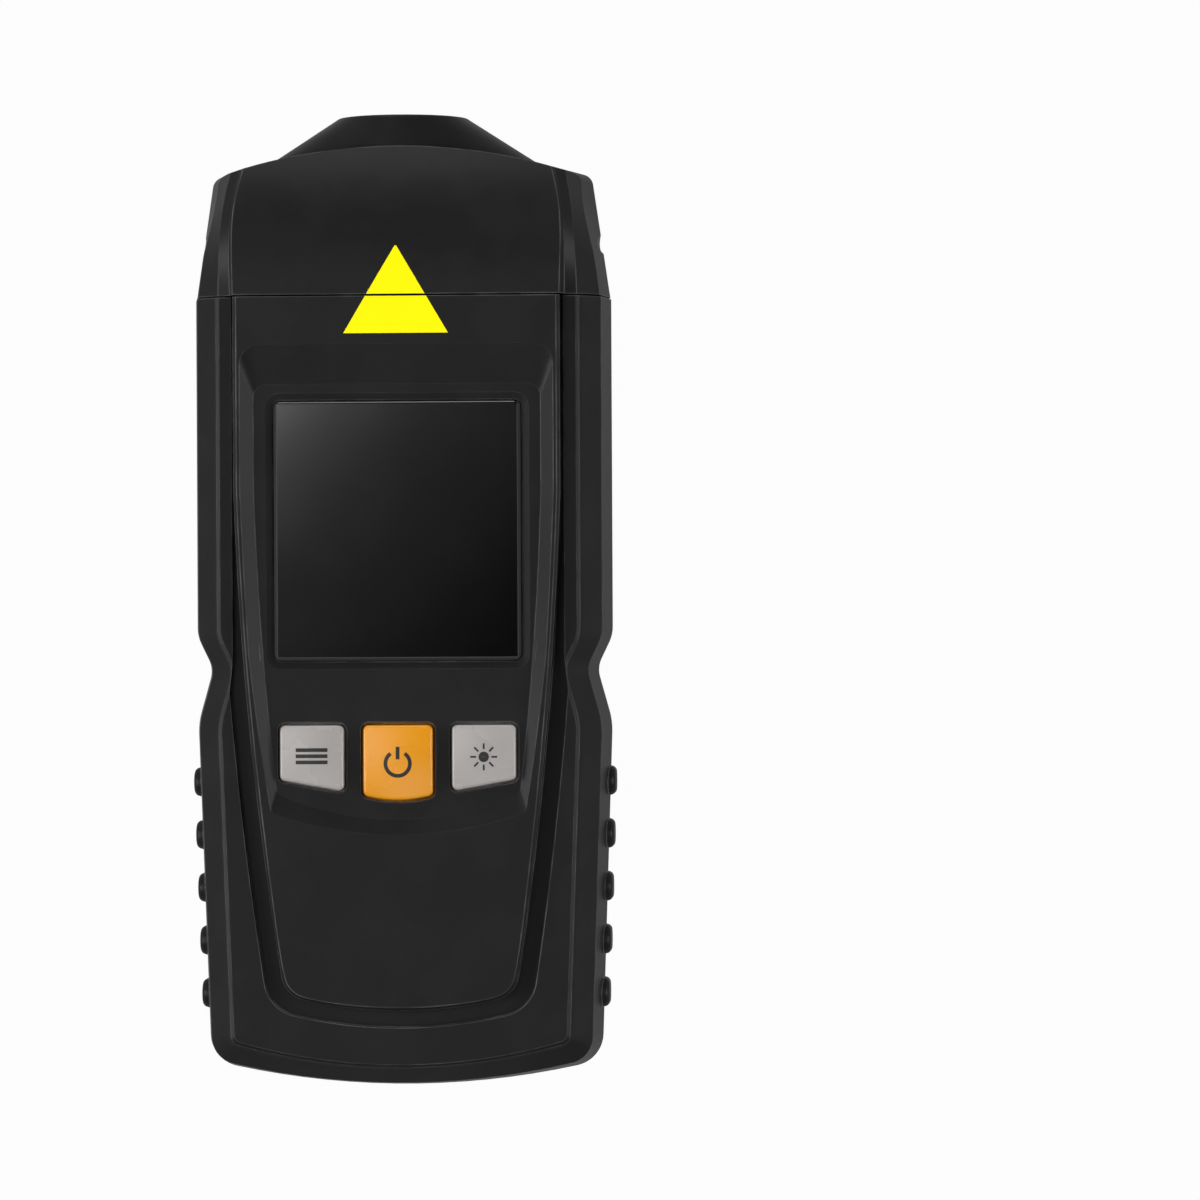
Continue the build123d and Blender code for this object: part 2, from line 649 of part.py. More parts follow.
# Rear shell: floor and walls, raised floor over the door, battery bay, screw towers
rear_form = case_loft(*BACK_LEVELS)
rear_pads = grip_pads(0, PARTING_Z)
rear_hollow = case_loft((WALL, BACK_LEVELS[1][1] + WALL), (PARTING_Z, WALL))
battery_top_y = BATTERY_END_Y + BATTERY[1]
bay_half = BATTERY[0] / 2 + BAY_CLEAR
bay_y = (BATTERY_END_Y - BAY_CLEAR, battery_top_y + SNAP_GAP + SNAP[1])
bay_ceiling_z = BATTERY_Z + BATTERY[2] + PAD_T
door_seat_z = DOOR_T + DOOR_GAP
raised_floor_z = door_seat_z + DOOR_FLOOR_T
door_way = door_prism(DOOR_GAP)
with BuildPart() as rear_shell:
    add(rear_form)
    add(rear_pads)
    add(rear_hollow, mode=Mode.SUBTRACT)
    span(DOOR_HALF + DOOR_DOVETAIL + WALL, (BOTTOM_Y + 3, DOOR_TOP_Y + WALL), (WALL / 2, raised_floor_z))
    span(bay_half + BAY_WALL, (bay_y[0] - BAY_WALL, bay_y[1] + BAY_WALL), (WALL, bay_ceiling_z + BAY_WALL))
    span(bay_half, bay_y, (WALL / 2, bay_ceiling_z), Mode.SUBTRACT)
    for x, y in CASE_SCREWS:
        tower_z = PARTING_Z if y < 0 else PARTING_Z - TAB_T / 2
        with BuildSketch(Plane.XY.offset(WALL / 2)):
            with Locations((x, y)):
                Circle(TOWER_R)
        extrude(amount=tower_z - WALL / 2)
    with BuildSketch(Plane.XY):
        with Locations(*CASE_SCREWS):
            Circle(SCREW_HEAD_R + FIT)
    extrude(amount=SCREW_SEAT_Z, mode=Mode.SUBTRACT)
    with BuildSketch(Plane.XY):
        with Locations(*CASE_SCREWS):
            Circle(SCREW_R + FIT)
    extrude(amount=PARTING_Z, mode=Mode.SUBTRACT)
    add(door_way, mode=Mode.SUBTRACT)
save(rear_shell.part, "rear_shell")

# Battery door: a dovetailed plate that ends flush with the back and the lower end
door_body = door_prism(0)
with BuildPart() as battery_door:
    add(rear_form)
    add(door_body, mode=Mode.INTERSECT)
    with BuildSketch(Plane.XY):
        with Locations((0, DOOR_RIB_Y)):
            with GridLocations(0, DOOR_RIB_PITCH, 1, DOOR_RIBS):
                SlotOverall(DOOR_RIB[0], DOOR_RIB[1])
    extrude(amount=DOOR_RIB[2], mode=Mode.SUBTRACT)
save(battery_door.part, "battery_door")

# Battery with its two studs, the plate that snaps over them, and the pad that holds it down
stud_z = BATTERY_Z + BATTERY[2] / 2
with BuildPart() as battery:
    with BuildSketch(across(BATTERY_END_Y)):
        with Locations((0, stud_z)):
            RectangleRounded(BATTERY[0], BATTERY[2], BATTERY_R)
    extrude(amount=BATTERY[1])
    with BuildSketch(across(battery_top_y)):
        with Locations((STUD_PITCH / 2, stud_z)):
            Circle(STUD_R)
        with Locations((-STUD_PITCH / 2, stud_z)):
            RegularPolygon(SOCKET_STUD_R, 6)
    extrude(amount=STUD_H)
save(battery.part, "battery")

with BuildPart() as battery_snap:
    with BuildSketch(across(battery_top_y + SNAP_GAP)):
        with Locations((0, stud_z)):
            RectangleRounded(SNAP[0], SNAP[2], BATTERY_R)
    extrude(amount=SNAP[1])
    with BuildSketch(across(battery_top_y)):
        with Locations((STUD_PITCH / 2, stud_z)):
            Circle(STUD_R + FIT)
        with Locations((-STUD_PITCH / 2, stud_z)):
            Circle(SOCKET_STUD_R + FIT)
    extrude(amount=STUD_H, mode=Mode.SUBTRACT)
save(battery_snap.part, "battery_snap")

with BuildPart() as battery_pad:
    with BuildSketch(Plane.XY.offset(bay_ceiling_z)):
        with Locations((0, (BATTERY_END_Y + battery_top_y) / 2)):
            RectangleRounded(BATTERY[0] * 0.6, BATTERY[1] * 0.4, BATTERY_R)
    extrude(amount=-PAD_T)
save(battery_pad.part, "battery_pad")

# Display: window, glass, its frame and the rubber strips that connect it
with BuildPart() as lcd_window:
    with BuildSketch(Plane.XY.offset(WINDOW_SEAT_Z)):
        with Locations((0, WINDOW_Y)):
            RectangleRounded(WINDOW[0], WINDOW[1], WINDOW_R)
    extrude(amount=WINDOW[2])
    fillet(lcd_window.faces().sort_by(Axis.Z)[-1].edges(), WINDOW_EDGE)
save(lcd_window.part, "lcd_window")

glass_z = INNER_RIM_Z + LCD_LIFT
with BuildPart() as lcd_glass:
    with BuildSketch(Plane.XY.offset(glass_z)):
        with Locations((0, WINDOW_Y)):
            Rectangle(LCD[0], LCD[1])
    extrude(amount=LCD[2])
save(lcd_glass.part, "lcd_glass")

with BuildPart() as lcd_frame:
    with BuildSketch(Plane.XY.offset(INNER_RIM_Z)):
        with Locations((0, WINDOW_Y)):
            RectangleRounded(LCD[0] + 2 * LCD_RIM, LCD[1] + 2 * LCD_RIM, LCD_RIM)
            Rectangle(*LCD_OPENING, mode=Mode.SUBTRACT)
    extrude(amount=LCD_LIFT + LCD[2] / 2)
    with BuildSketch(Plane.XY.offset(glass_z)):
        with Locations((0, WINDOW_Y)):
            Rectangle(LCD[0] + FIT, LCD[1] + FIT)
    extrude(amount=LCD[2], mode=Mode.SUBTRACT)
save(lcd_frame.part, "lcd_frame")

with BuildPart() as contact_strips:
    with BuildSketch(Plane.XY.offset(INNER_RIM_Z)):
        with Locations((0, WINDOW_Y)):
            with GridLocations(0, LCD_OPENING[1] - STRIP[1] - FIT, 1, 2):
                Rectangle(*STRIP)
    extrude(amount=LCD_LIFT)
save(contact_strips.part, "contact_strips")

# Circuit board and what it carries
with BuildPart() as main_board:
    with BuildSketch(Plane.XY.offset(BOARD_Z)) as board_outline:
        with Locations((0, (BOARD_TOP_Y + BOARD_END_Y) / 2)):
            Rectangle(2 * BOARD_HALF, BOARD_TOP_Y - BOARD_END_Y)
        chamfer(board_outline.vertices(), WALL)
        with Locations(*CASE_SCREWS):
            Circle(BOSS_R + BAY_CLEAR, mode=Mode.SUBTRACT)
        with Locations(*BOARD_SCREWS):
            Circle(BOARD_SCREW_R + FIT, mode=Mode.SUBTRACT)
    extrude(amount=BOARD_T)
save(main_board.part, "main_board")

with BuildPart() as controller_chip:
    with BuildSketch(Plane.XY.offset(BOARD_Z)):
        with Locations((0, WINDOW_Y)):
            Rectangle(CHIP[0], CHIP[1])
    extrude(amount=-CHIP[2])
    chamfer(controller_chip.edges().filter_by(Axis.Z), CHIP[2] / 2)
save(controller_chip.part, "controller_chip")

with BuildPart() as timing_crystal:
    with BuildSketch(Plane.XY.offset(BOARD_Z)):
        with Locations(CRYSTAL_PLACE):
            SlotOverall(CRYSTAL[0], CRYSTAL[1])
    extrude(amount=-CRYSTAL[2])
save(timing_crystal.part, "timing_crystal")

dome_z = INNER_RIM_Z + MAT[2] + DOME_H
with BuildPart() as key_mat:
    with BuildSketch(Plane.XY.offset(INNER_RIM_Z)):
        with Locations((0, MAT_Y)):
            RectangleRounded(MAT[0], MAT[1], WALL)
    extrude(amount=MAT[2])
    with BuildSketch(Plane.XY.offset(INNER_RIM_Z + MAT[2])):
        with Locations(*[(side * KEY_PITCH, KEY_Y) for side in KEY_SIDES.values()]):
            Circle(DOME_R)
    extrude(amount=DOME_H, taper=DOME_TAPER)
save(key_mat.part, "key_mat")

# Keys: domed caps on a flange that keeps them behind the shell, with a stem over the mat
flange_z = INNER_TOP_Z - KEY_CLEAR - KEY_FLANGE_T
stem_z = dome_z + KEY_TRAVEL + KEY_CLEAR
for key_name, side in KEY_SIDES.items():
    with BuildPart() as key:
        add(key_outline(key_name, flange_z, KEY_FLANGE))
        extrude(amount=KEY_FLANGE_T)
        add(key_outline(key_name, flange_z))
        extrude(amount=KEY_TOP_Z - flange_z)
        with Locations((side * KEY_PITCH, KEY_Y, KEY_TOP_Z - KEY_DOME_R)):
            Sphere(KEY_DOME_R, mode=Mode.INTERSECT)
        fillet(key.faces().sort_by(Axis.Z)[-1].edges(), KEY_EDGE)
        with BuildSketch(Plane.XY.offset(stem_z)):
            with Locations((side * KEY_PITCH, KEY_Y)):
                Circle(KEY_STEM_R)
        extrude(amount=flange_z - stem_z)
    save(key.part, key_name)

# Optics: holder behind the nose, laser barrel, lens with its ring, sensor on its own board
holder_back_y = HOLDER_Y - HOLDER[1]
with BuildPart() as optics_holder:
    block(across(holder_back_y), (0, HOLDER_Z), (HOLDER[0], HOLDER[2]), HOLDER[1])
    bore((0, LENS_Z), LENS_SEAT_R, HOLDER_Y, HOLDER[1])
    bore((0, LASER_Z), LASER_BARREL_R, HOLDER_Y, HOLDER[1])
    for side in (-1, 1):
        bore((side * OPTICS_SCREW_X, HOLDER_Z), BOARD_SCREW_R + FIT, HOLDER_Y, HOLDER[1])
save(optics_holder.part, "optics_holder")

with BuildPart() as laser_module:
    with BuildSketch(across(holder_back_y)):
        with Locations((0, LASER_Z)):
            Circle(LASER_BARREL_R)
    extrude(amount=HOLDER[1])
    with BuildSketch(across(HOLDER_Y)):
        with Locations((0, LASER_Z)):
            Circle(LASER_R)
    extrude(amount=LASER_NOZZLE)
save(laser_module.part, "laser_module")

with BuildPart() as receiving_lens:
    with BuildSketch(Plane.YZ):
        with BuildLine():
            Polyline(
                (recess_y, LENS_Z + LENS_R),
                (recess_y - LENS_T, LENS_Z + LENS_R),
                (recess_y - LENS_T, LENS_Z),
                (recess_y + LENS_BULGE, LENS_Z),
            )
            ThreePointArc(
                (recess_y + LENS_BULGE, LENS_Z),
                (recess_y + LENS_BULGE * 0.75, LENS_Z + LENS_SEAT_R / 2),
                (recess_y, LENS_Z + LENS_SEAT_R),
            )
            Line((recess_y, LENS_Z + LENS_SEAT_R), (recess_y, LENS_Z + LENS_R))
        make_face()
    revolve(axis=Axis((0, 0, LENS_Z), (0, 1, 0)))
save(receiving_lens.part, "receiving_lens")

with BuildPart() as lens_ring:
    with BuildSketch(across(recess_y)):
        with Locations((0, LENS_Z)):
            Circle(LENS_R + LENS_RING_T)
            Circle(LENS_SEAT_R, mode=Mode.SUBTRACT)
    extrude(amount=LENS_RING_T)
    chamfer(lens_ring.edges().group_by(Axis.Y)[-1].sort_by(SortBy.RADIUS)[-1], LENS_RING_T / 3)
save(lens_ring.part, "lens_ring")

with BuildPart() as sensor_board:
    block(across(holder_back_y - BOARD_T), (0, HOLDER_Z), SENSOR_BOARD, BOARD_T)
    for side in (-1, 1):
        bore((side * OPTICS_SCREW_X, HOLDER_Z), BOARD_SCREW_R + FIT, holder_back_y, BOARD_T)
save(sensor_board.part, "sensor_board")

with BuildPart() as photodiode:
    with BuildSketch(across(holder_back_y)):
        with Locations((0, LENS_Z)):
            Circle(SENSOR_R)
    extrude(amount=SENSOR_LENGTH)
    chamfer(photodiode.edges().group_by(Axis.Y)[-1], SENSOR_R * 0.4)
save(photodiode.part, "photodiode")

# Fasteners, each kind one group of equal screws
case_screw = screw(CASE_SCREW_LENGTH, SCREW_R, SCREW_HEAD_R, SCREW_HEAD_T)
board_screw = screw(BOARD_SCREW_LENGTH, BOARD_SCREW_R, BOARD_SCREW_HEAD_R, BOARD_SCREW_HEAD_T)
optics_screw_length = BOARD_T + HOLDER[1] + OPTICS_SCREW_BITE
optics_screw = screw(optics_screw_length, BOARD_SCREW_R, BOARD_SCREW_HEAD_R, BOARD_SCREW_HEAD_T)

with BuildPart() as case_screws:
    with Locations(*[(x, y, SCREW_SEAT_Z) for x, y in CASE_SCREWS]):
        add(case_screw)
save(case_screws.part, "case_screws")

with BuildPart() as board_screws:
    with Locations(*[(x, y, BOARD_Z) for x, y in BOARD_SCREWS]):
        add(board_screw)
save(board_screws.part, "board_screws")

with BuildPart() as optics_screws:
    for side in (-1, 1):
        with Locations(Location((side * OPTICS_SCREW_X, holder_back_y - BOARD_T, HOLDER_Z), (-90, 0, 0))):
            add(optics_screw)
save(optics_screws.part, "optics_screws")
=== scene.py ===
"""Finish, markings, light and camera for the handheld tachometer.

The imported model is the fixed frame. Everything is in metres: X across the width, Y towards the nose,
Z up out of the display face.
"""

import math

import bpy
import numpy as np
from bpy.props import FloatProperty, FloatVectorProperty, PointerProperty
from mathutils import Matrix, Vector


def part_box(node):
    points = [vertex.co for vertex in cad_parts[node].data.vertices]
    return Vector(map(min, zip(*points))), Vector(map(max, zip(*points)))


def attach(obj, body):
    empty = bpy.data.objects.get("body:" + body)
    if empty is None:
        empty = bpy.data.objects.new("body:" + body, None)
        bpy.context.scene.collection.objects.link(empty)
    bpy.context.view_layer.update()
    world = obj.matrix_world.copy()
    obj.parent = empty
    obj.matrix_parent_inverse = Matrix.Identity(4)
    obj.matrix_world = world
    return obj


bl_info = {
    "name": "Handheld tachometer finish",
    "version": (1, 0, 0),
    "blender": (4, 5, 0),
    "location": "3D View > Sidebar > Tachometer",
    "description": "Dresses the tachometer's solids, prints its markings and sets up its stage",
    "category": "Object",
}

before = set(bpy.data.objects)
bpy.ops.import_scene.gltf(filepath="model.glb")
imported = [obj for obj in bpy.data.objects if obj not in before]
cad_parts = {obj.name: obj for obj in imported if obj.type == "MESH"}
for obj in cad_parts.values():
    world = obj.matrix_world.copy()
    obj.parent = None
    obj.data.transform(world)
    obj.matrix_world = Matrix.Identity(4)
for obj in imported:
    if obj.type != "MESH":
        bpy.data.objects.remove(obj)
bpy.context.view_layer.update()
MM = 0.001

# Places and radii of the solids that the markings lie on
PANEL_TOP_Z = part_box("front_shell")[1][2]
SEAM_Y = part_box("front_shell")[1][1]
HEAD_TOP_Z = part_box("head_cap")[1][2]
HEAD_ROOF_R = 48 * MM
SEAM_GROOVE = 0.25 * MM
KEY_DOME_R = 42 * MM
KEY_Y = -25.8 * MM

# Depth that a full bump of grain or brushed lines stands for
GRAIN_DEPTH = 0.02 * MM

# Specular level of satin plastic and print, which mirror little
SATIN = 0.1


def srgb(red, green, blue):
    """Linear colour for a colour given as sRGB values from 0 to 255."""
    values = np.array([red, green, blue]) / 255
    linear = np.where(values <= 0.04045, values / 12.92, ((values + 0.055) / 1.055) ** 2.4)
    return tuple(float(value) for value in linear)


def shade(colour, share):
    """Colour made darker or paler by a share."""
    return tuple(min(channel * share, 1.0) for channel in colour)


def colour_property(name, description, colour):
    """Colour setting with a linear default."""
    return FloatVectorProperty(
        name=name, description=description, subtype="COLOR", size=3, min=0, max=1, default=colour
    )


def length_property(name, description, length):
    """Length setting in metres."""
    return FloatProperty(
        name=name, description=description, subtype="DISTANCE", unit="LENGTH", default=length, precision=5
    )


class HousingSettings(bpy.types.PropertyGroup):
    colour: colour_property("Colour", "Colour of the moulded housing", srgb(27, 27, 28))
    bloom: colour_property("Bloom", "Paler colour of the flow marks in the housing", srgb(30, 30, 31))
    # The edge colour is partly wear and partly a painted highlight along the rounded edges
    rub_and_highlight: colour_property("Rub and highlight", "Colour of the edges that hands have rubbed", srgb(98, 98, 99))
    grain: length_property("Grain", "Size of the cells of the moulded grain", 0.3 * MM)
    edge: length_property("Edge", "Radius that moulded edges are rounded to", 0.3 * MM)


class WindowSettings(bpy.types.PropertyGroup):
    colour: colour_property("Colour", "Colour of the smoked window", srgb(2, 2, 2))
    viewing: colour_property("Viewing area", "Colour of the display seen through it", srgb(3, 3, 4))
    margin: length_property("Margin", "Width of the printed margin round the viewing area", 2.2 * MM)


class KeySettings(bpy.types.PropertyGroup):
    grey: colour_property("Grey", "Colour of the side keys", srgb(155, 151, 149))
    orange: colour_property("Orange", "Colour of the power key", srgb(215, 141, 16))
    edge: length_property("Edge", "Radius that the keys' edges are rounded to", 0.35 * MM)


class InsideSettings(bpy.types.PropertyGroup):
    board: colour_property("Board", "Colour of the solder mask", srgb(22, 92, 48))
    copper: colour_property("Tracks", "Colour of the tracks under the mask", srgb(38, 122, 66))
    pad: colour_property("Pads", "Colour of the plated pads", srgb(212, 178, 96))
    rubber: colour_property("Rubber", "Colour of the key mat", srgb(128, 130, 132))
    foam: colour_property("Foam", "Colour of the battery's foam pad", srgb(62, 62, 64))
    jacket: colour_property("Battery jacket", "Colour of the battery's printed jacket", srgb(58, 84, 108))
    brass: colour_property("Brass", "Colour of the laser's barrel", srgb(196, 158, 84))
    steel: colour_property("Steel", "Colour of the screws", srgb(176, 176, 178))
    dark: colour_property("Inner plastic", "Colour of the plastic parts inside", srgb(22, 22, 23))


class MarkSettings(bpy.types.PropertyGroup):
    yellow: colour_property("Yellow", "Colour of the aiming mark", srgb(255, 240, 0))
    ink: colour_property("Ink", "Colour of the symbols on the keys", srgb(18, 16, 16))
    thickness: length_property("Thickness", "Height of the print above its face", 0.02 * MM)
    aim_half: length_property("Half width", "Half of the aiming mark's base", 8.55 * MM)
    aim_base: length_property("Base", "Place of the aiming mark's base along the meter", 43.7 * MM)
    aim_tip: length_property("Tip", "Place of the aiming mark's tip along the meter", 58.2 * MM)
    stroke: length_property("Stroke", "Width of the lines of the symbols", 0.6 * MM)


class StageSettings(bpy.types.PropertyGroup):
    distance: length_property("Distance", "Height of the camera above the middle of the meter", 0.9625)
    view_width: length_property("View width", "Width that the camera takes in there", 0.19855)
    aside: length_property("Aside", "How far the camera stands to the right of the meter", 0.0725)
    roll: FloatProperty(
        name="Roll", description="Turn of the camera about its own axis", subtype="ANGLE", unit="ROTATION",
        default=math.radians(0.28),
    )


def settings(group):
    """One group of the scene's own settings."""
    return getattr(bpy.context.scene, group)


def new_group(name, inputs, outputs):
    """Empty shader node group with its inputs (name: default number) and outputs (name: kind)."""
    tree = bpy.data.node_groups.new(name, "ShaderNodeTree")
    for socket, value in inputs.items():
        tree.interface.new_socket(socket, in_out="INPUT", socket_type="NodeSocketFloat").default_value = value
    for socket, kind in outputs.items():
        tree.interface.new_socket(socket, in_out="OUTPUT", socket_type=kind)
    return tree, tree.nodes.new("NodeGroupInput"), tree.nodes.new("NodeGroupOutput")


def feed(tree, socket, value):
    """Link an input to a socket, or set it to a plain value."""
    if isinstance(value, bpy.types.NodeSocket):
        tree.links.new(value, socket)
    else:
        socket.default_value = value


def math_node(tree, operation, *values):
    """Math node fed by sockets or numbers; returns its output socket."""
    node = tree.nodes.new("ShaderNodeMath")
    node.operation = operation
    for socket, value in zip(node.inputs, values):
        feed(tree, socket, value)
    return node.outputs[0]


def mix_colours(tree, factor, first, second):
    """Mix of two colours, each a socket or a linear colour; returns its output socket.

    The Mix node has sockets of one name for each kind of data, so its colours are found by their place.
    """
    first_place, second_place, mixed_place = 6, 7, 2
    node = tree.nodes.new("ShaderNodeMix")
    node.data_type = "RGBA"
    tree.links.new(factor, node.inputs["Factor"])
    for place, value in ((first_place, first), (second_place, second)):
        plain = not isinstance(value, bpy.types.NodeSocket)
        feed(tree, node.inputs[place], (*value, 1) if plain else value)
    return node.outputs[mixed_place]


def noise(tree, vector, scale, detail):
    """Noise texture of a scale per metre; returns its value socket."""
    node = tree.nodes.new("ShaderNodeTexNoise")
    node.inputs["Detail"].default_value = detail
    feed(tree, node.inputs["Scale"], scale)
    tree.links.new(vector, node.inputs["Vector"])
    return node.outputs["Fac"]


def ramp_value(tree, value, low, high, to_low=0.0, to_high=1.0):
    """Map a value smoothly from one range to another; returns its output socket."""
    node = tree.nodes.new("ShaderNodeMapRange")
    node.interpolation_type = "SMOOTHSTEP"
    for socket, number in zip(("From Min", "From Max", "To Min", "To Max"), (low, high, to_low, to_high)):
        node.inputs[socket].default_value = number
    tree.links.new(value, node.inputs["Value"])
    return node.outputs["Result"]


def object_axes(tree):
    """Object coordinates as one socket, and their X, Y and Z as three."""
    coords = tree.nodes.new("ShaderNodeTexCoord").outputs["Object"]
    split = tree.nodes.new("ShaderNodeSeparateXYZ")
    tree.links.new(coords, split.inputs[0])
    return coords, split.outputs


def from_middle(tree, place, low, high):
    """How far a place on one axis is from the middle of two ends."""
    return math_node(tree, "ABSOLUTE", math_node(tree, "SUBTRACT", place, (low + high) / 2))


def inset_mask(tree, axes, box, margin, blur):
    """Mask of a box seen from above, less a margin round it, with a soft rim."""
    masks = []
    for axis in (0, 1):
        low, high = (corner[axis] for corner in box)
        half = (high - low) / 2 - margin
        masks.append(ramp_value(tree, from_middle(tree, axes[axis], low, high), half, half - blur))
    return math_node(tree, "MULTIPLY", *masks)


def moulded_surface_group():
    """Normal of rounded edges and fine moulded grain, with masks of clouds in the flow and of edges that are
    worn and carry a painted highlight.

    An edge is worn and gets its painted highlight where the bevelled normal leans away from the surface's
    own.
    """
    tree, entry, out = new_group(
        "moulded_surface",
        {"Edge": 0.3 * MM, "Cells": 3000.0, "Grain": 0.1},
        {"Normal": "NodeSocketVector", "Edge_rub_and_highlight": "NodeSocketFloat", "Cloud": "NodeSocketFloat"},
    )
    links = tree.links
    no_lean, full_lean = 0.998, 0.95
    patch_scale, cloud_scale = 180.0, 120.0
    coords = tree.nodes.new("ShaderNodeTexCoord").outputs["Object"]
    bevel = tree.nodes.new("ShaderNodeBevel")
    bevel.samples = 6
    links.new(entry.outputs["Edge"], bevel.inputs["Radius"])
    geometry = tree.nodes.new("ShaderNodeNewGeometry")
    lean = tree.nodes.new("ShaderNodeVectorMath")
    lean.operation = "DOT_PRODUCT"
    links.new(bevel.outputs["Normal"], lean.inputs[0])
    links.new(geometry.outputs["Normal"], lean.inputs[1])
    edge_mask = ramp_value(tree, lean.outputs["Value"], no_lean, full_lean)
    patches = noise(tree, coords, patch_scale, 3.0)
    uneven = ramp_value(tree, patches, 0.35, 0.65, 0.35, 1.0)
    links.new(math_node(tree, "MULTIPLY", edge_mask, uneven), out.inputs["Edge_rub_and_highlight"])
    cloud = noise(tree, coords, cloud_scale, 4.0)
    links.new(ramp_value(tree, cloud, 0.38, 0.66), out.inputs["Cloud"])
    cells = noise(tree, coords, entry.outputs["Cells"], 1.0)
    bump = tree.nodes.new("ShaderNodeBump")
    bump.inputs["Distance"].default_value = GRAIN_DEPTH
    links.new(entry.outputs["Grain"], bump.inputs["Strength"])
    links.new(cells, bump.inputs["Height"])
    links.new(bevel.outputs["Normal"], bump.inputs["Normal"])
    links.new(bump.outputs["Normal"], out.inputs["Normal"])
    return tree


def principled(name, colour, roughness, **sockets):
    """Material with one Principled shader; returns the material and its shader."""
    material = bpy.data.materials.new(name)
    material.use_nodes = True
    shader = material.node_tree.nodes["Principled BSDF"]
    shader.inputs["Base Color"].default_value = (*colour, 1)
    shader.inputs["Roughness"].default_value = roughness
    for socket, value in sockets.items():
        shader.inputs[socket.replace("_", " ")].default_value = value
    return material, shader


def moulded(material, shader, edge, cells, grain):
    """Place the moulded surface in a material and feed its normal; returns the group's node."""
    tree = material.node_tree
    node = tree.nodes.new("ShaderNodeGroup")
    node.node_tree = bpy.data.node_groups.get("moulded_surface") or moulded_surface_group()
    node.inputs["Edge"].default_value = edge
    node.inputs["Cells"].default_value = 1 / cells
    node.inputs["Grain"].default_value = grain
    tree.links.new(node.outputs["Normal"], shader.inputs["Normal"])
    return node


def plastic(name, colour, roughness, edge, cells, grain, pale=1.25, **sockets):
    """Moulded plastic whose colour and gloss drift a little and whose edges are rounded."""
    material, shader = principled(name, colour, roughness, **sockets)
    tree = material.node_tree
    surface = moulded(material, shader, edge, cells, grain)
    tone = mix_colours(tree, surface.outputs["Cloud"], colour, shade(colour, pale))
    tree.links.new(tone, shader.inputs["Base Color"])
    gloss = ramp_value(tree, surface.outputs["Cloud"], 0.0, 1.0, roughness * 0.92, roughness * 1.08)
    tree.links.new(gloss, shader.inputs["Roughness"])
    return material


def fine_finish_group():
    """Fine relief stretched along the axes: grains where all are alike, brushed lines where one is short."""
    patch_scale = 250.0
    tree, entry, out = new_group(
        "fine_finish",
        {"Stretch X": 1.0, "Stretch Y": 1.0, "Stretch Z": 1.0, "Scale": 2000.0, "Relief": 0.2},
        {"Normal": "NodeSocketVector", "Streak": "NodeSocketFloat", "Patch": "NodeSocketFloat"},
    )
    links = tree.links
    coords = tree.nodes.new("ShaderNodeTexCoord").outputs["Object"]
    stretch = tree.nodes.new("ShaderNodeCombineXYZ")
    for axis in "XYZ":
        links.new(entry.outputs[f"Stretch {axis}"], stretch.inputs[axis])
    scaled = tree.nodes.new("ShaderNodeVectorMath")
    scaled.operation = "MULTIPLY"
    links.new(coords, scaled.inputs[0])
    links.new(stretch.outputs[0], scaled.inputs[1])
    streak = noise(tree, scaled.outputs[0], entry.outputs["Scale"], 3.0)
    bump = tree.nodes.new("ShaderNodeBump")
    bump.inputs["Distance"].default_value = GRAIN_DEPTH
    links.new(entry.outputs["Relief"], bump.inputs["Strength"])
    links.new(streak, bump.inputs["Height"])
    links.new(bump.outputs["Normal"], out.inputs["Normal"])
    links.new(ramp_value(tree, streak, 0.3, 0.7), out.inputs["Streak"])
    links.new(ramp_value(tree, noise(tree, coords, patch_scale, 3.0), 0.35, 0.7), out.inputs["Patch"])
    return tree


def finished(name, colour, other, roughness, grain, relief, stretch=(1, 1, 1), **sockets):
    """Material of two close colours over a fine relief, its gloss broken up in soft patches.

    Returns the material, its shader and the socket of the mixed colour.
    """
    material, shader = principled(name, colour, roughness, **sockets)
    tree = material.node_tree
    finish = tree.nodes.new("ShaderNodeGroup")
    finish.node_tree = bpy.data.node_groups.get("fine_finish") or fine_finish_group()
    for axis, amount in zip("XYZ", stretch):
        finish.inputs[f"Stretch {axis}"].default_value = amount
    finish.inputs["Scale"].default_value = 1 / grain
    finish.inputs["Relief"].default_value = relief
    tree.links.new(finish.outputs["Normal"], shader.inputs["Normal"])
    tone = mix_colours(tree, finish.outputs["Streak"], colour, other)
    tree.links.new(tone, shader.inputs["Base Color"])
    gloss = ramp_value(tree, finish.outputs["Patch"], 0.0, 1.0, roughness * 0.85, roughness * 1.15)
    tree.links.new(gloss, shader.inputs["Roughness"])
    return material, shader, tone


def dress(material, *nodes):
    """Give frame nodes a material in all their slots."""
    for name in nodes:
        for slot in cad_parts[name].material_slots:
            slot.material = material


def mesh_object(name, vertices, faces, material, body):
    """Object from vertices and quads, riding on a body."""
    mesh = bpy.data.meshes.new(name)
    mesh.from_pydata(vertices.tolist(), [], faces.tolist())
    mesh.materials.append(material)
    mesh.validate()
    piece = bpy.data.objects.new(name, mesh)
    bpy.context.collection.objects.link(piece)
    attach(piece, body)


def grid_quads(rows, columns, offset=0, loop=False):
    """Quads between the points of a grid, its last row joined to its first one where it is a loop."""
    steps = rows if loop else rows - 1
    row, column = np.meshgrid(np.arange(steps), np.arange(columns - 1), indexing="ij")
    after = (row + 1) % rows
    quads = [row * columns + column, after * columns + column]
    quads += [after * columns + column + 1, row * columns + column + 1]
    return np.stack(quads, axis=-1).reshape(-1, 4) + offset


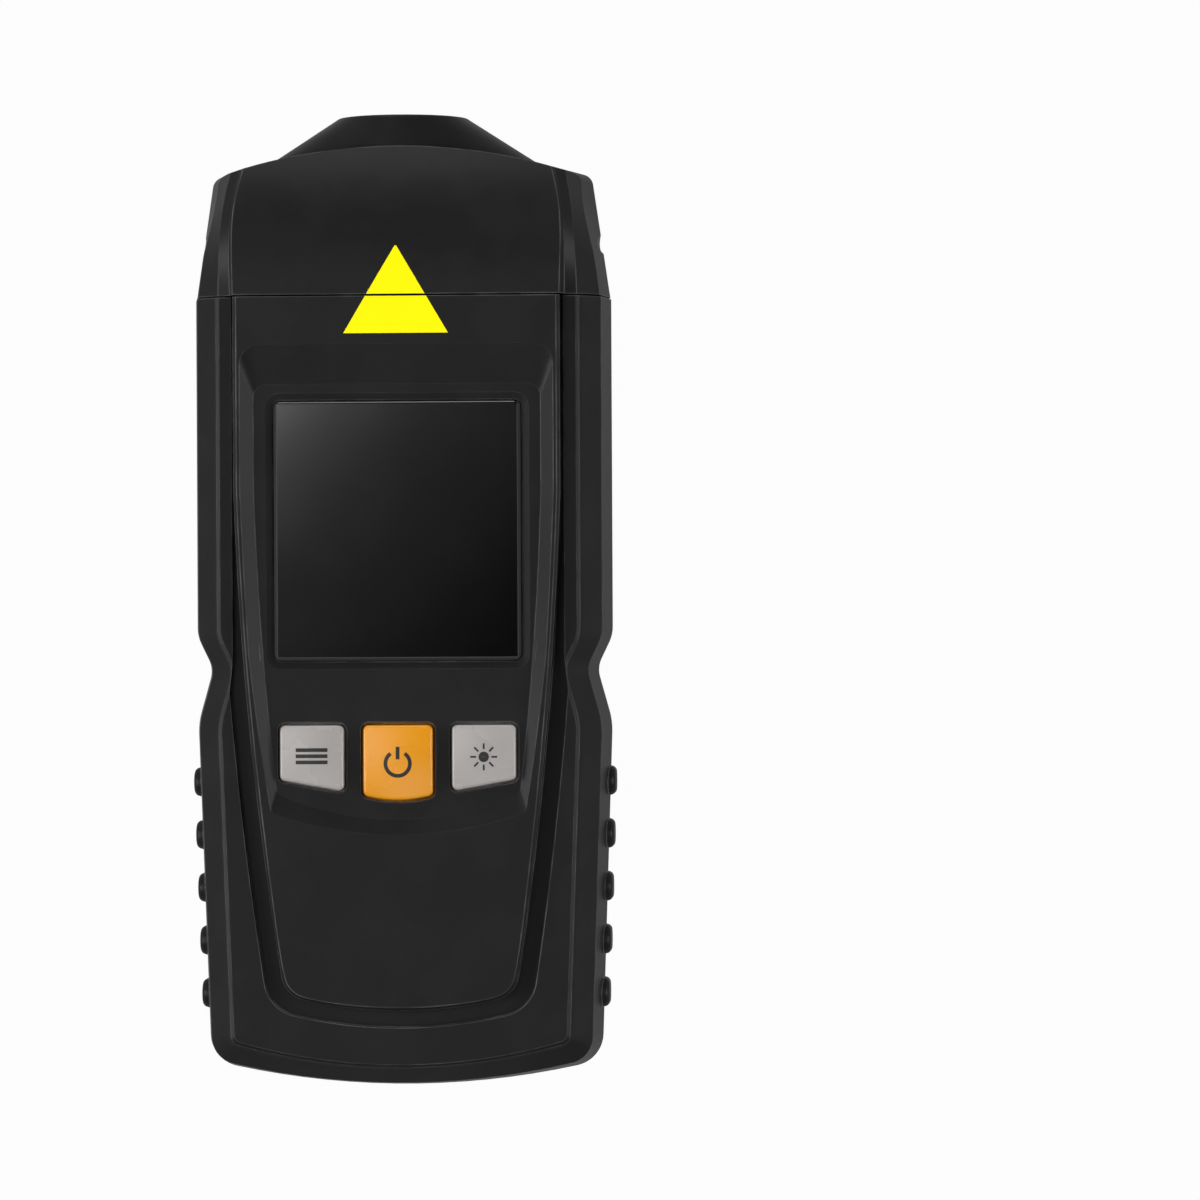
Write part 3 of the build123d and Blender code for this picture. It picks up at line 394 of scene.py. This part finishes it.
def film(plan, height, thickness, loop=False):
    """Closed thin film over a face, as vertices and quads.

    The plan is a grid of X and Y. The upper sheet is the face's height at each point plus the thickness,
    the lower sheet the height less twice the thickness, and quads round the rim join the two.
    """
    rows, columns = plan.shape[:2]
    level = height(plan[..., 0], plan[..., 1])
    upper = np.concatenate([plan, (level + thickness)[..., None]], axis=-1).reshape(-1, 3)
    lower = np.concatenate([plan, (level - 2 * thickness)[..., None]], axis=-1).reshape(-1, 3)
    index = np.arange(rows * columns).reshape(rows, columns)
    if loop:
        rims = [np.append(index[:, 0], index[0, 0]), np.append(index[::-1, -1], index[-1, -1])]
    else:
        rims = [np.concatenate([index[:-1, 0], index[-1, :-1], index[:0:-1, -1], index[0, ::-1]])]
    sheet = grid_quads(rows, columns, 0, loop)
    count = rows * columns
    walls = [np.stack([rim[1:], rim[:-1], rim[:-1] + count, rim[1:] + count], axis=-1) for rim in rims]
    quads = np.concatenate([sheet, sheet[:, ::-1] + count, *walls])
    first, second, third = (upper[sheet[0, corner]] for corner in (0, 1, 2))
    if np.cross(second - first, third - second)[2] < 0:
        quads = quads[:, ::-1]
    return np.concatenate([upper, lower]), quads


def join_films(films):
    """Several films as one set of vertices and quads."""
    offsets = np.cumsum([0] + [len(vertices) for vertices, _ in films[:-1]])
    quads = [faces + offset for (_, faces), offset in zip(films, offsets)]
    return np.concatenate([vertices for vertices, _ in films]), np.concatenate(quads)


def ribbon(path, width, loop=False):
    """Plan of a line of one width: each point of the path moved half of it to both sides.

    The side is the path's direction there turned by a right angle, found from the points beside it.
    """
    ahead = np.roll(path, -1, axis=0) - np.roll(path, 1, axis=0)
    if not loop:
        ahead[0] = path[1] - path[0]
        ahead[-1] = path[-1] - path[-2]
    ahead /= np.linalg.norm(ahead, axis=1, keepdims=True)
    side = np.stack([-ahead[:, 1], ahead[:, 0]], axis=-1)
    share = np.linspace(-0.5, 0.5, 4)[None, :, None]
    return path[:, None, :] + share * width * side[:, None, :]


def line(start, end, count=6):
    """Straight path between two points."""
    share = np.linspace(0, 1, count)[:, None]
    return np.asarray(start) * (1 - share) + np.asarray(end) * share


def arc(centre, radius, start, end, count=48):
    """Path round a circle between two angles in degrees, measured from +X towards +Y."""
    angle = np.radians(np.linspace(start, end, count))
    return np.asarray(centre) + radius * np.stack([np.cos(angle), np.sin(angle)], axis=-1)


def key_dome(centre):
    """Height of a key's domed top: the sphere's centre plus the rise over each point of the plan.

    The domes of all three keys reach the same height.
    """
    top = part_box("power_key")[1][2]

    def height(x, y):
        """Height of the dome at each point."""
        reach = (x - centre[0]) ** 2 + (y - centre[1]) ** 2
        return top - KEY_DOME_R + np.sqrt(KEY_DOME_R**2 - reach)

    return height


class TACHO_OT_housing(bpy.types.Operator):
    """Give the shells, the head and the battery door their satin charcoal plastic"""
    bl_idname = "tacho.housing"
    bl_label = "Dress the housing"

    def execute(self, context):
        cfg = settings("tacho_housing")
        roughness, clouded, polish, relief = 0.355, 0.37, 0.06, 0.16
        material, shader = principled("charcoal_housing", cfg.colour, roughness, Specular_IOR_Level=SATIN)
        tree = material.node_tree
        surface = moulded(material, shader, cfg.edge, cfg.grain, relief)
        tone = mix_colours(tree, surface.outputs["Cloud"], cfg.colour, cfg.bloom)
        # Paler edges: partly wear, partly a painted highlight along the rounded edges
        rubbed_and_highlit = mix_colours(tree, surface.outputs["Edge_rub_and_highlight"], tone, cfg.rub_and_highlight)
        tree.links.new(rubbed_and_highlit, shader.inputs["Base Color"])
        matte = ramp_value(tree, surface.outputs["Cloud"], 0.0, 1.0, roughness, clouded)
        worn = math_node(tree, "MULTIPLY", surface.outputs["Edge_rub_and_highlight"], polish)
        tree.links.new(math_node(tree, "SUBTRACT", matte, worn), shader.inputs["Roughness"])
        dress(material, "front_shell", "head_cap", "rear_shell", "battery_door")
        return {"FINISHED"}


class TACHO_OT_window(bpy.types.Operator):
    """Give the display window its smoked gloss, with the display just seen inside a printed margin"""
    bl_idname = "tacho.window"
    bl_label = "Dress the window"

    def execute(self, context):
        """The face is polished glossy, and its cut edges stay rough on all sides but the one at the nose."""
        cfg = settings("tacho_window")
        polished, smudged, rougher = 0.09, 0.1, 0.8
        edge_start, edge_full = 0.65 * MM, 0.4 * MM
        material, shader = principled("smoked_window", cfg.colour, polished, Specular_IOR_Level=0.75)
        tree = material.node_tree
        low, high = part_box("lcd_window")
        coords, axes = object_axes(tree)
        inside = inset_mask(tree, axes, (low, high), cfg.margin, 0.1 * MM)
        tree.links.new(mix_colours(tree, inside, cfg.colour, cfg.viewing), shader.inputs["Base Color"])
        smudge = ramp_value(tree, noise(tree, coords, 90.0, 4.0), 0.4, 0.7, polished, smudged)
        half = (high[0] - low[0]) / 2
        away = from_middle(tree, axes[0], low[0], high[0])
        sides = ramp_value(tree, away, half - edge_start, half - edge_full)
        foot = ramp_value(tree, axes[1], low[1] + edge_start, low[1] + edge_full)
        cut = math_node(tree, "MULTIPLY", math_node(tree, "MAXIMUM", sides, foot), rougher)
        tree.links.new(math_node(tree, "ADD", smudge, cut), shader.inputs["Roughness"])
        bevel = tree.nodes.new("ShaderNodeBevel")
        bevel.inputs["Radius"].default_value = 0.2 * MM
        tree.links.new(bevel.outputs["Normal"], shader.inputs["Normal"])
        dress(material, "lcd_window")
        return {"FINISHED"}


class TACHO_OT_keys(bpy.types.Operator):
    """Give the keys their glossy grey and orange plastic"""
    bl_idname = "tacho.keys"
    bl_label = "Dress the keys"

    def execute(self, context):
        cfg = settings("tacho_keys")
        surface = {"roughness": 0.28, "edge": cfg.edge, "cells": 0.6 * MM, "grain": 0.05, "pale": 1.05}
        dress(plastic("grey_key", cfg.grey, **surface), "memory_key", "laser_key")
        dress(plastic("orange_key", cfg.orange, **surface), "power_key")
        return {"FINISHED"}


class TACHO_OT_boards(bpy.types.Operator):
    """Give the boards their green mask with tracks and plated pads, and dress what they carry"""
    bl_idname = "tacho.boards"
    bl_label = "Dress the boards"

    def execute(self, context):
        cfg = settings("tacho_inside")
        dress(self.board(cfg), "main_board", "sensor_board")
        chip = finished(
            "chip_epoxy", srgb(24, 24, 25), srgb(34, 34, 35), roughness=0.55, grain=0.12 * MM, relief=0.3
        )[0]
        dress(chip, "controller_chip")
        can = finished(
            "crystal_can", cfg.steel, shade(cfg.steel, 0.8), roughness=0.24, grain=0.1 * MM, relief=0.15,
            stretch=(0.08, 1, 1), Metallic=1.0,
        )[0]
        dress(can, "timing_crystal")
        rubber = finished(
            "key_mat_rubber", cfg.rubber, shade(cfg.rubber, 0.9), roughness=0.62, grain=0.2 * MM,
            relief=0.25,
        )[0]
        dress(rubber, "key_mat")
        dress(self.contact_rubber(cfg), "contact_strips")
        return {"FINISHED"}

    def board(self, cfg):
        """Solder mask with tracks in two directions under it and rows of plated pads."""
        material, shader, mask = finished(
            "solder_mask", cfg.board, shade(cfg.board, 0.85), roughness=0.32, grain=0.3 * MM, relief=0.12
        )
        tree = material.node_tree
        coords, axes = object_axes(tree)
        pitch, width = 1.4 * MM, 0.3
        pad_pitch, pad_drift, pad_reach = 5 * MM, 0.6, 0.16
        lines = []
        for axis in (0, 1):
            wave = math_node(tree, "FRACT", math_node(tree, "DIVIDE", axes[axis], pitch))
            lines.append(math_node(tree, "LESS_THAN", wave, width))
        way = math_node(tree, "GREATER_THAN", noise(tree, coords, 110.0, 1.0), 0.5)
        across = math_node(tree, "MULTIPLY", lines[0], way)
        along = math_node(tree, "MULTIPLY", lines[1], math_node(tree, "SUBTRACT", 1.0, way))
        tracks = math_node(tree, "ADD", across, along)
        cells = tree.nodes.new("ShaderNodeTexVoronoi")
        cells.inputs["Scale"].default_value = 1 / pad_pitch
        cells.inputs["Randomness"].default_value = pad_drift
        tree.links.new(coords, cells.inputs["Vector"])
        pads = math_node(tree, "LESS_THAN", cells.outputs["Distance"], pad_reach)
        tone = mix_colours(tree, tracks, mask, cfg.copper)
        tree.links.new(mix_colours(tree, pads, tone, cfg.pad), shader.inputs["Base Color"])
        return material

    def contact_rubber(self, cfg):
        """Strips of thin conducting layers, dark and pale in turn along them."""
        material, shader, tone = finished(
            "contact_rubber", shade(cfg.rubber, 0.3), shade(cfg.rubber, 0.4), roughness=0.6,
            grain=0.2 * MM, relief=0.2,
        )
        tree = material.node_tree
        pitch, pale = 0.5 * MM, srgb(206, 150, 146)
        across = object_axes(tree)[1][0]
        wave = math_node(tree, "FRACT", math_node(tree, "DIVIDE", across, pitch))
        layer = math_node(tree, "GREATER_THAN", wave, 0.5)
        tree.links.new(mix_colours(tree, layer, tone, pale), shader.inputs["Base Color"])
        return material


class TACHO_OT_display(bpy.types.Operator):
    """Give the display its grey-green glass with a dark seal round it, and its frame black plastic"""
    bl_idname = "tacho.display"
    bl_label = "Dress the display"

    def execute(self, context):
        cfg = settings("tacho_inside")
        material, shader, tone = finished(
            "display_glass", srgb(112, 120, 104), srgb(120, 127, 112), roughness=0.1,
            grain=1.5 * MM, relief=0.02,
        )
        tree = material.node_tree
        seal, seal_width = srgb(26, 28, 27), 1.2 * MM
        inside = inset_mask(tree, object_axes(tree)[1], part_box("lcd_glass"), seal_width, 0.15 * MM)
        tree.links.new(mix_colours(tree, inside, seal, tone), shader.inputs["Base Color"])
        dress(material, "lcd_glass")
        inner = plastic("inner_plastic", cfg.dark, roughness=0.5, edge=0.15 * MM, cells=0.3 * MM, grain=0.12)
        dress(inner, "lcd_frame", "battery_snap")
        return {"FINISHED"}


class TACHO_OT_battery(bpy.types.Operator):
    """Give the battery its printed jacket between bare metal ends, and its pad the pores of foam"""
    bl_idname = "tacho.battery"
    bl_label = "Dress the battery"

    def execute(self, context):
        cfg = settings("tacho_inside")
        material, shader, jacket = finished(
            "battery_jacket", cfg.jacket, shade(cfg.jacket, 0.9), roughness=0.3, grain=0.2 * MM, relief=0.1,
            stretch=(1, 0.1, 1),
        )
        tree = material.node_tree
        low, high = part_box("battery")
        along = object_axes(tree)[1][1]
        cap, foot, blur = 4.0 * MM, 0.5 * MM, 0.2 * MM
        ends = [
            ramp_value(tree, along, high[1] - cap - blur, high[1] - cap),
            ramp_value(tree, along, low[1] + foot + blur, low[1] + foot),
        ]
        bare = math_node(tree, "MAXIMUM", *ends)
        tree.links.new(mix_colours(tree, bare, jacket, cfg.steel), shader.inputs["Base Color"])
        tree.links.new(bare, shader.inputs["Metallic"])
        dress(material, "battery")
        dress(self.foam(cfg), "battery_pad")
        return {"FINISHED"}

    def foam(self, cfg):
        """Open pores as hollows between the walls of random cells, darkened with painted shade."""
        pore, depth = 0.6 * MM, 0.15 * MM
        material, shader = principled("pad_foam", cfg.foam, 0.95)
        tree = material.node_tree
        cells = tree.nodes.new("ShaderNodeTexVoronoi")
        cells.inputs["Scale"].default_value = 1 / pore
        tree.links.new(tree.nodes.new("ShaderNodeTexCoord").outputs["Object"], cells.inputs["Vector"])
        wall = ramp_value(tree, cells.outputs["Distance"], 0.15, 0.55)
        # Pores darker than the walls: painted shade in the hollows
        tree.links.new(mix_colours(tree, wall, shade(cfg.foam, 0.35), cfg.foam), shader.inputs["Base Color"])
        bump = tree.nodes.new("ShaderNodeBump")
        bump.inputs["Distance"].default_value = depth
        tree.links.new(wall, bump.inputs["Height"])
        tree.links.new(bump.outputs["Normal"], shader.inputs["Normal"])
        return material


class TACHO_OT_optics(bpy.types.Operator):
    """Give the lens its clear glass, and the parts behind it matt black, brass and dark epoxy"""
    bl_idname = "tacho.optics"
    bl_label = "Dress the optics"

    def execute(self, context):
        cfg = settings("tacho_inside")
        holder = plastic(
            "holder_plastic", shade(cfg.dark, 0.6), roughness=0.7, edge=0.15 * MM, cells=0.25 * MM, grain=0.2
        )
        dress(holder, "optics_holder")
        ring = finished(
            "ring_aluminium", srgb(150, 150, 152), srgb(128, 128, 130), roughness=0.3, grain=0.15 * MM,
            relief=0.15, stretch=(1, 0.1, 1), Metallic=1.0,
        )[0]
        dress(ring, "lens_ring")
        brass = finished(
            "barrel_brass", cfg.brass, shade(cfg.brass, 0.82), roughness=0.26, grain=0.12 * MM, relief=0.2,
            stretch=(1, 0.06, 1), Metallic=1.0,
        )[0]
        dress(brass, "laser_module")
        eye = finished(
            "sensor_epoxy", srgb(26, 14, 20), srgb(34, 18, 26), roughness=0.16, grain=0.8 * MM, relief=0.03
        )[0]
        dress(eye, "photodiode")
        glass, shader = principled("lens_glass", (0.93, 0.96, 0.97), 0.03, IOR=1.52, Transmission_Weight=1.0)
        tree = glass.node_tree
        coords = tree.nodes.new("ShaderNodeTexCoord").outputs["Object"]
        haze = ramp_value(tree, noise(tree, coords, 300.0, 3.0), 0.45, 0.75, 0.02, 0.07)
        tree.links.new(haze, shader.inputs["Roughness"])
        dress(glass, "receiving_lens")
        return {"FINISHED"}


class TACHO_OT_fasteners(bpy.types.Operator):
    """Give the screws their plated steel"""
    bl_idname = "tacho.fasteners"
    bl_label = "Dress the fasteners"

    def execute(self, context):
        cfg = settings("tacho_inside")
        steel = finished(
            "plated_steel", cfg.steel, shade(cfg.steel, 0.75), roughness=0.3, grain=0.2 * MM, relief=0.2,
            stretch=(1, 1, 0.3), Metallic=1.0,
        )[0]
        dress(steel, "case_screws", "board_screws", "optics_screws")
        return {"FINISHED"}


class TACHO_OT_markings(bpy.types.Operator):
    """Print the aiming mark on the face and the symbols on the keys"""
    bl_idname = "tacho.markings"
    bl_label = "Print the markings"

    def execute(self, context):
        cfg = settings("tacho_marks")
        self.aiming_mark(cfg)
        ink = plastic("key_ink", cfg.ink, roughness=0.45, edge=0.02 * MM, cells=0.2 * MM, grain=0.05)
        symbols = {
            "memory": self.memory_lines(cfg),
            "power": self.power_lines(cfg),
            "laser": self.light_lines(),
        }
        for key, plans in symbols.items():
            middle = (self.key_centre(key), KEY_Y)
            films = [film(plan, key_dome(middle), cfg.thickness, loop) for plan, loop in plans]
            mesh_object(f"{key}_symbol", *join_films(films), ink, f"{key}_key")
        return {"FINISHED"}

    def key_centre(self, key):
        """Middle of a key across the meter."""
        low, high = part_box(f"{key}_key")
        return (low[0] + high[0]) / 2

    def aiming_mark(self, cfg):
        """Triangle towards the nose in two films, one on each side of the seam.

        At a share v of the way from base to tip, the half width is the base's times 1 - v. The panel is
        level, and the head's face is an arc that leaves the seam level and falls towards the nose. The
        films leave the groove at the seam free, and the second one ends just short of the point.
        """
        yellow = plastic(
            "yellow_print", cfg.yellow, roughness=0.4, edge=0.02 * MM, cells=0.5 * MM, grain=0.08, pale=0.97,
            Specular_IOR_Level=SATIN,
        )
        span = cfg.aim_tip - cfg.aim_base
        seam = (SEAM_Y - cfg.aim_base) / span
        gap = SEAM_GROOVE / span
        blunt_end = 0.985

        def plan(start, end):
            """Plan of the stretch of the triangle between two shares of its length."""
            share, across = np.meshgrid(np.linspace(start, end, 24), np.linspace(-1, 1, 25), indexing="ij")
            return np.stack([cfg.aim_half * (1 - share) * across, cfg.aim_base + span * share], axis=-1)

        def panel(x, y):
            """Height of the panel."""
            return np.full_like(x, PANEL_TOP_Z)

        def head(x, y):
            """Height of the head's face."""
            return HEAD_TOP_Z - HEAD_ROOF_R + np.sqrt(HEAD_ROOF_R**2 - (y - SEAM_Y) ** 2)

        films = [
            film(plan(0, seam - gap / 5), panel, cfg.thickness),
            film(plan(seam + 1.2 * gap, blunt_end), head, cfg.thickness),
        ]
        mesh_object("aiming_mark", *join_films(films), yellow, "housing")

    def power_lines(self, cfg):
        """Open ring with a bar through its gap."""
        level, radius, half_gap = KEY_Y - 0.65 * MM, 2.0 * MM, 35
        bar_start, bar_end = 0.7 * MM, 2.75 * MM
        ring = arc((0, level), radius, 90 + half_gap, 450 - half_gap)
        bar = line((0, level + bar_start), (0, level + bar_end))
        return [(ribbon(ring, cfg.stroke), False), (ribbon(bar, cfg.stroke), False)]

    def memory_lines(self, cfg):
        """Three bars one under another."""
        x = self.key_centre("memory")
        half, raised, pitch = 2.6 * MM, 0.6 * MM, 1.0 * MM
        levels = [KEY_Y + raised + step * pitch for step in (-1, 0, 1)]
        return [(ribbon(line((x - half, y), (x + half, y)), cfg.stroke), False) for y in levels]

    def light_lines(self):
        """Disc with eight rays round it."""
        raised, ring_radius, ring_width = 0.4 * MM, 0.45 * MM, 0.8 * MM
        ray_start, ray_end, ray_width = 1.25 * MM, 2.2 * MM, 0.3 * MM
        middle = np.array([self.key_centre("laser"), KEY_Y + raised])
        ring = arc(middle, ring_radius, 0, 360, 33)[:-1]
        plans = [(ribbon(ring, ring_width, True), True)]
        for angle in np.radians(np.arange(0, 360, 45)):
            ray = np.array([np.cos(angle), np.sin(angle)])
            path = line(middle + ray_start * ray, middle + ray_end * ray)
            plans.append((ribbon(path, ray_width), False))
        return plans


# Level at which the camera's view is measured, the place there in the middle of the picture, and the
# camera's own place along the meter
VIEW_LEVEL = 19.5 * MM
PICTURE_MIDDLE = (32.39 * MM, 0.04 * MM)
CAMERA_Y = -0.4 * MM

# Soft lamps turned towards the meter: place, size and radiance
SOFTBOXES = {
    "right_softbox": ((0.78, -0.05, 0.5), 0.5, 7.0),
    "left_softbox": ((-0.78, -0.05, 0.5), 0.5, 8.0),
    "nose_softbox": ((-0.17, 0.93, 0.36), 0.5, 4.2),
}

# Height of the level panels over the meter
PANEL_HEIGHT = 1.25

# Level panels: place, turn in degrees, size and radiance; the two spills soften the edge of the left
# one, which the window mirrors
PANELS = {
    "left_panel": ((-0.495, 0.141), 45, 0.6, 2.8),
    "near_spill": ((-0.495, 0.141), 45, 0.67, 0.36),
    "far_spill": ((-0.495, 0.141), 45, 0.79, 0.12),
    "front_panel": ((0, -0.39), 0, 0.5, 1.6),
}


def add_softbox(name, place, size, radiance):
    """Square soft lamp turned towards the meter, its power worked out from how bright its face is."""
    light = bpy.data.lights.new(name, "AREA")
    light.shape = "SQUARE"
    light.size = size
    light.energy = radiance * math.pi * size**2
    lamp = bpy.data.objects.new(name, light)
    lamp.location = place
    lamp.rotation_euler = (-Vector(place)).to_track_quat("-Z", "Y").to_euler()
    bpy.context.collection.objects.link(lamp)
    return lamp


class TACHO_OT_stage(bpy.types.Operator):
    """Set up the floor, the light and the camera"""
    bl_idname = "tacho.stage"
    bl_label = "Set the stage"

    def execute(self, context):
        scene = context.scene
        cfg = settings("tacho_stage")
        scene.view_settings.view_transform = "Standard"
        self.floor()
        self.world(scene)
        for name, lamp in SOFTBOXES.items():
            add_softbox(name, *lamp)
        for name, lamp in PANELS.items():
            self.overhead_panel(name, *lamp)
        self.camera(scene, cfg)
        return {"FINISHED"}

    def overhead_panel(self, name, place, turn, size, radiance):
        """Level panel high over the meter, whose near edge its upward faces mirror."""
        panel = add_softbox(name, (*place, PANEL_HEIGHT), size, radiance)
        panel.rotation_euler = (0, 0, math.radians(turn))

    def floor(self):
        """Pale floor: white as the camera sees it, with the meter's soft shadow kept.

        It is open from below, and to rays that leave the back right above it, so that the back shows.
        """
        mesh = bpy.data.meshes.new("floor")
        half, level, clearance = 3.0, -0.2 * MM, 1 * MM
        shown, mirrored_share = 0.97, 0.15
        corners = [(-half, -half, level), (half, -half, level), (half, half, level), (-half, half, level)]
        mesh.from_pydata(corners, [], [(0, 1, 2, 3)])
        floor = bpy.data.objects.new("floor", mesh)
        bpy.context.collection.objects.link(floor)
        material, shader = principled("pale_floor", (0.35, 0.35, 0.35), 0.9, Specular_IOR_Level=0.0)
        tree = material.node_tree
        path = tree.nodes.new("ShaderNodeLightPath")
        mirrored = math_node(tree, "MULTIPLY", path.outputs["Is Glossy Ray"], mirrored_share)
        seen = math_node(tree, "MAXIMUM", path.outputs["Is Camera Ray"], mirrored)
        seen = math_node(tree, "MAXIMUM", seen, path.outputs["Is Transmission Ray"])
        white = tree.nodes.new("ShaderNodeEmission")
        mix = tree.nodes.new("ShaderNodeMixShader")
        tree.links.new(math_node(tree, "MULTIPLY", seen, shown), mix.inputs[0])
        tree.links.new(shader.outputs[0], mix.inputs[1])
        tree.links.new(white.outputs[0], mix.inputs[2])
        near = math_node(tree, "LESS_THAN", path.outputs["Ray Length"], clearance)
        below = tree.nodes.new("ShaderNodeNewGeometry").outputs["Backfacing"]
        gap = tree.nodes.new("ShaderNodeMixShader")
        tree.links.new(math_node(tree, "MAXIMUM", near, below), gap.inputs[0])
        tree.links.new(mix.outputs[0], gap.inputs[1])
        tree.links.new(tree.nodes.new("ShaderNodeBsdfTransparent").outputs[0], gap.inputs[2])
        tree.links.new(gap.outputs[0], tree.nodes["Material Output"].inputs["Surface"])
        mesh.materials.append(material)

    def world(self, scene):
        """Plain studio: pale round the horizon and dark straight above."""
        world = bpy.data.worlds.new("studio")
        world.use_nodes = True
        tree = world.node_tree
        horizon, overhead = 0.45, 0.02
        rise = object_axes(tree)[1][2]
        strength = ramp_value(tree, rise, 0.0, 0.9, horizon, overhead)
        background = tree.nodes["Background"]
        background.inputs["Color"].default_value = (1, 1, 1, 1)
        tree.links.new(strength, background.inputs["Strength"])
        scene.world = world

    def camera(self, scene, cfg):
        """Long lens above the meter and to its right, looking at the middle of the picture."""
        camera = bpy.data.cameras.new("camera")
        sensor = 36
        camera.sensor_width = sensor
        camera.lens = sensor * cfg.distance / cfg.view_width
        camera.clip_start = 0.05
        camera.clip_end = 10
        rig = bpy.data.objects.new("camera", camera)
        place = Vector((cfg.aside, CAMERA_Y, cfg.distance + VIEW_LEVEL))
        target = Vector((*PICTURE_MIDDLE, VIEW_LEVEL))
        forward = (target - place).normalized()
        upright = Vector((math.sin(cfg.roll), math.cos(cfg.roll), 0))
        right = forward.cross(upright).normalized()
        up = right.cross(forward)
        turn = Matrix((right, up, -forward)).transposed()
        rig.matrix_world = Matrix.Translation(place) @ turn.to_4x4()
        bpy.context.collection.objects.link(rig)
        scene.camera = rig


class TACHO_PT_panel(bpy.types.Panel):
    """Lists the operators that dress the meter"""
    bl_idname = "TACHO_PT_panel"
    bl_label = "Tachometer"
    bl_space_type = "VIEW_3D"
    bl_region_type = "UI"
    bl_category = "Tachometer"

    def draw(self, context):
        for operator in OPERATORS:
            self.layout.operator(operator.bl_idname)


GROUPS = {
    "tacho_housing": HousingSettings,
    "tacho_window": WindowSettings,
    "tacho_keys": KeySettings,
    "tacho_inside": InsideSettings,
    "tacho_marks": MarkSettings,
    "tacho_stage": StageSettings,
}
OPERATORS = (
    TACHO_OT_housing,
    TACHO_OT_window,
    TACHO_OT_keys,
    TACHO_OT_markings,
    TACHO_OT_boards,
    TACHO_OT_display,
    TACHO_OT_battery,
    TACHO_OT_optics,
    TACHO_OT_fasteners,
    TACHO_OT_stage,
)


def register():
    for name, group in GROUPS.items():
        bpy.utils.register_class(group)
        setattr(bpy.types.Scene, name, PointerProperty(type=group))
    for cls in (*OPERATORS, TACHO_PT_panel):
        bpy.utils.register_class(cls)


def unregister():
    for cls in reversed((*OPERATORS, TACHO_PT_panel)):
        bpy.utils.unregister_class(cls)
    for name, group in GROUPS.items():
        delattr(bpy.types.Scene, name)
        bpy.utils.unregister_class(group)


def main():
    register()
    bpy.ops.tacho.housing()
    bpy.ops.tacho.window()
    bpy.ops.tacho.keys()
    bpy.ops.tacho.markings()
    bpy.ops.tacho.boards()
    bpy.ops.tacho.display()
    bpy.ops.tacho.battery()
    bpy.ops.tacho.optics()
    bpy.ops.tacho.fasteners()
    bpy.ops.tacho.stage()


if __name__ == "__main__":
    main()
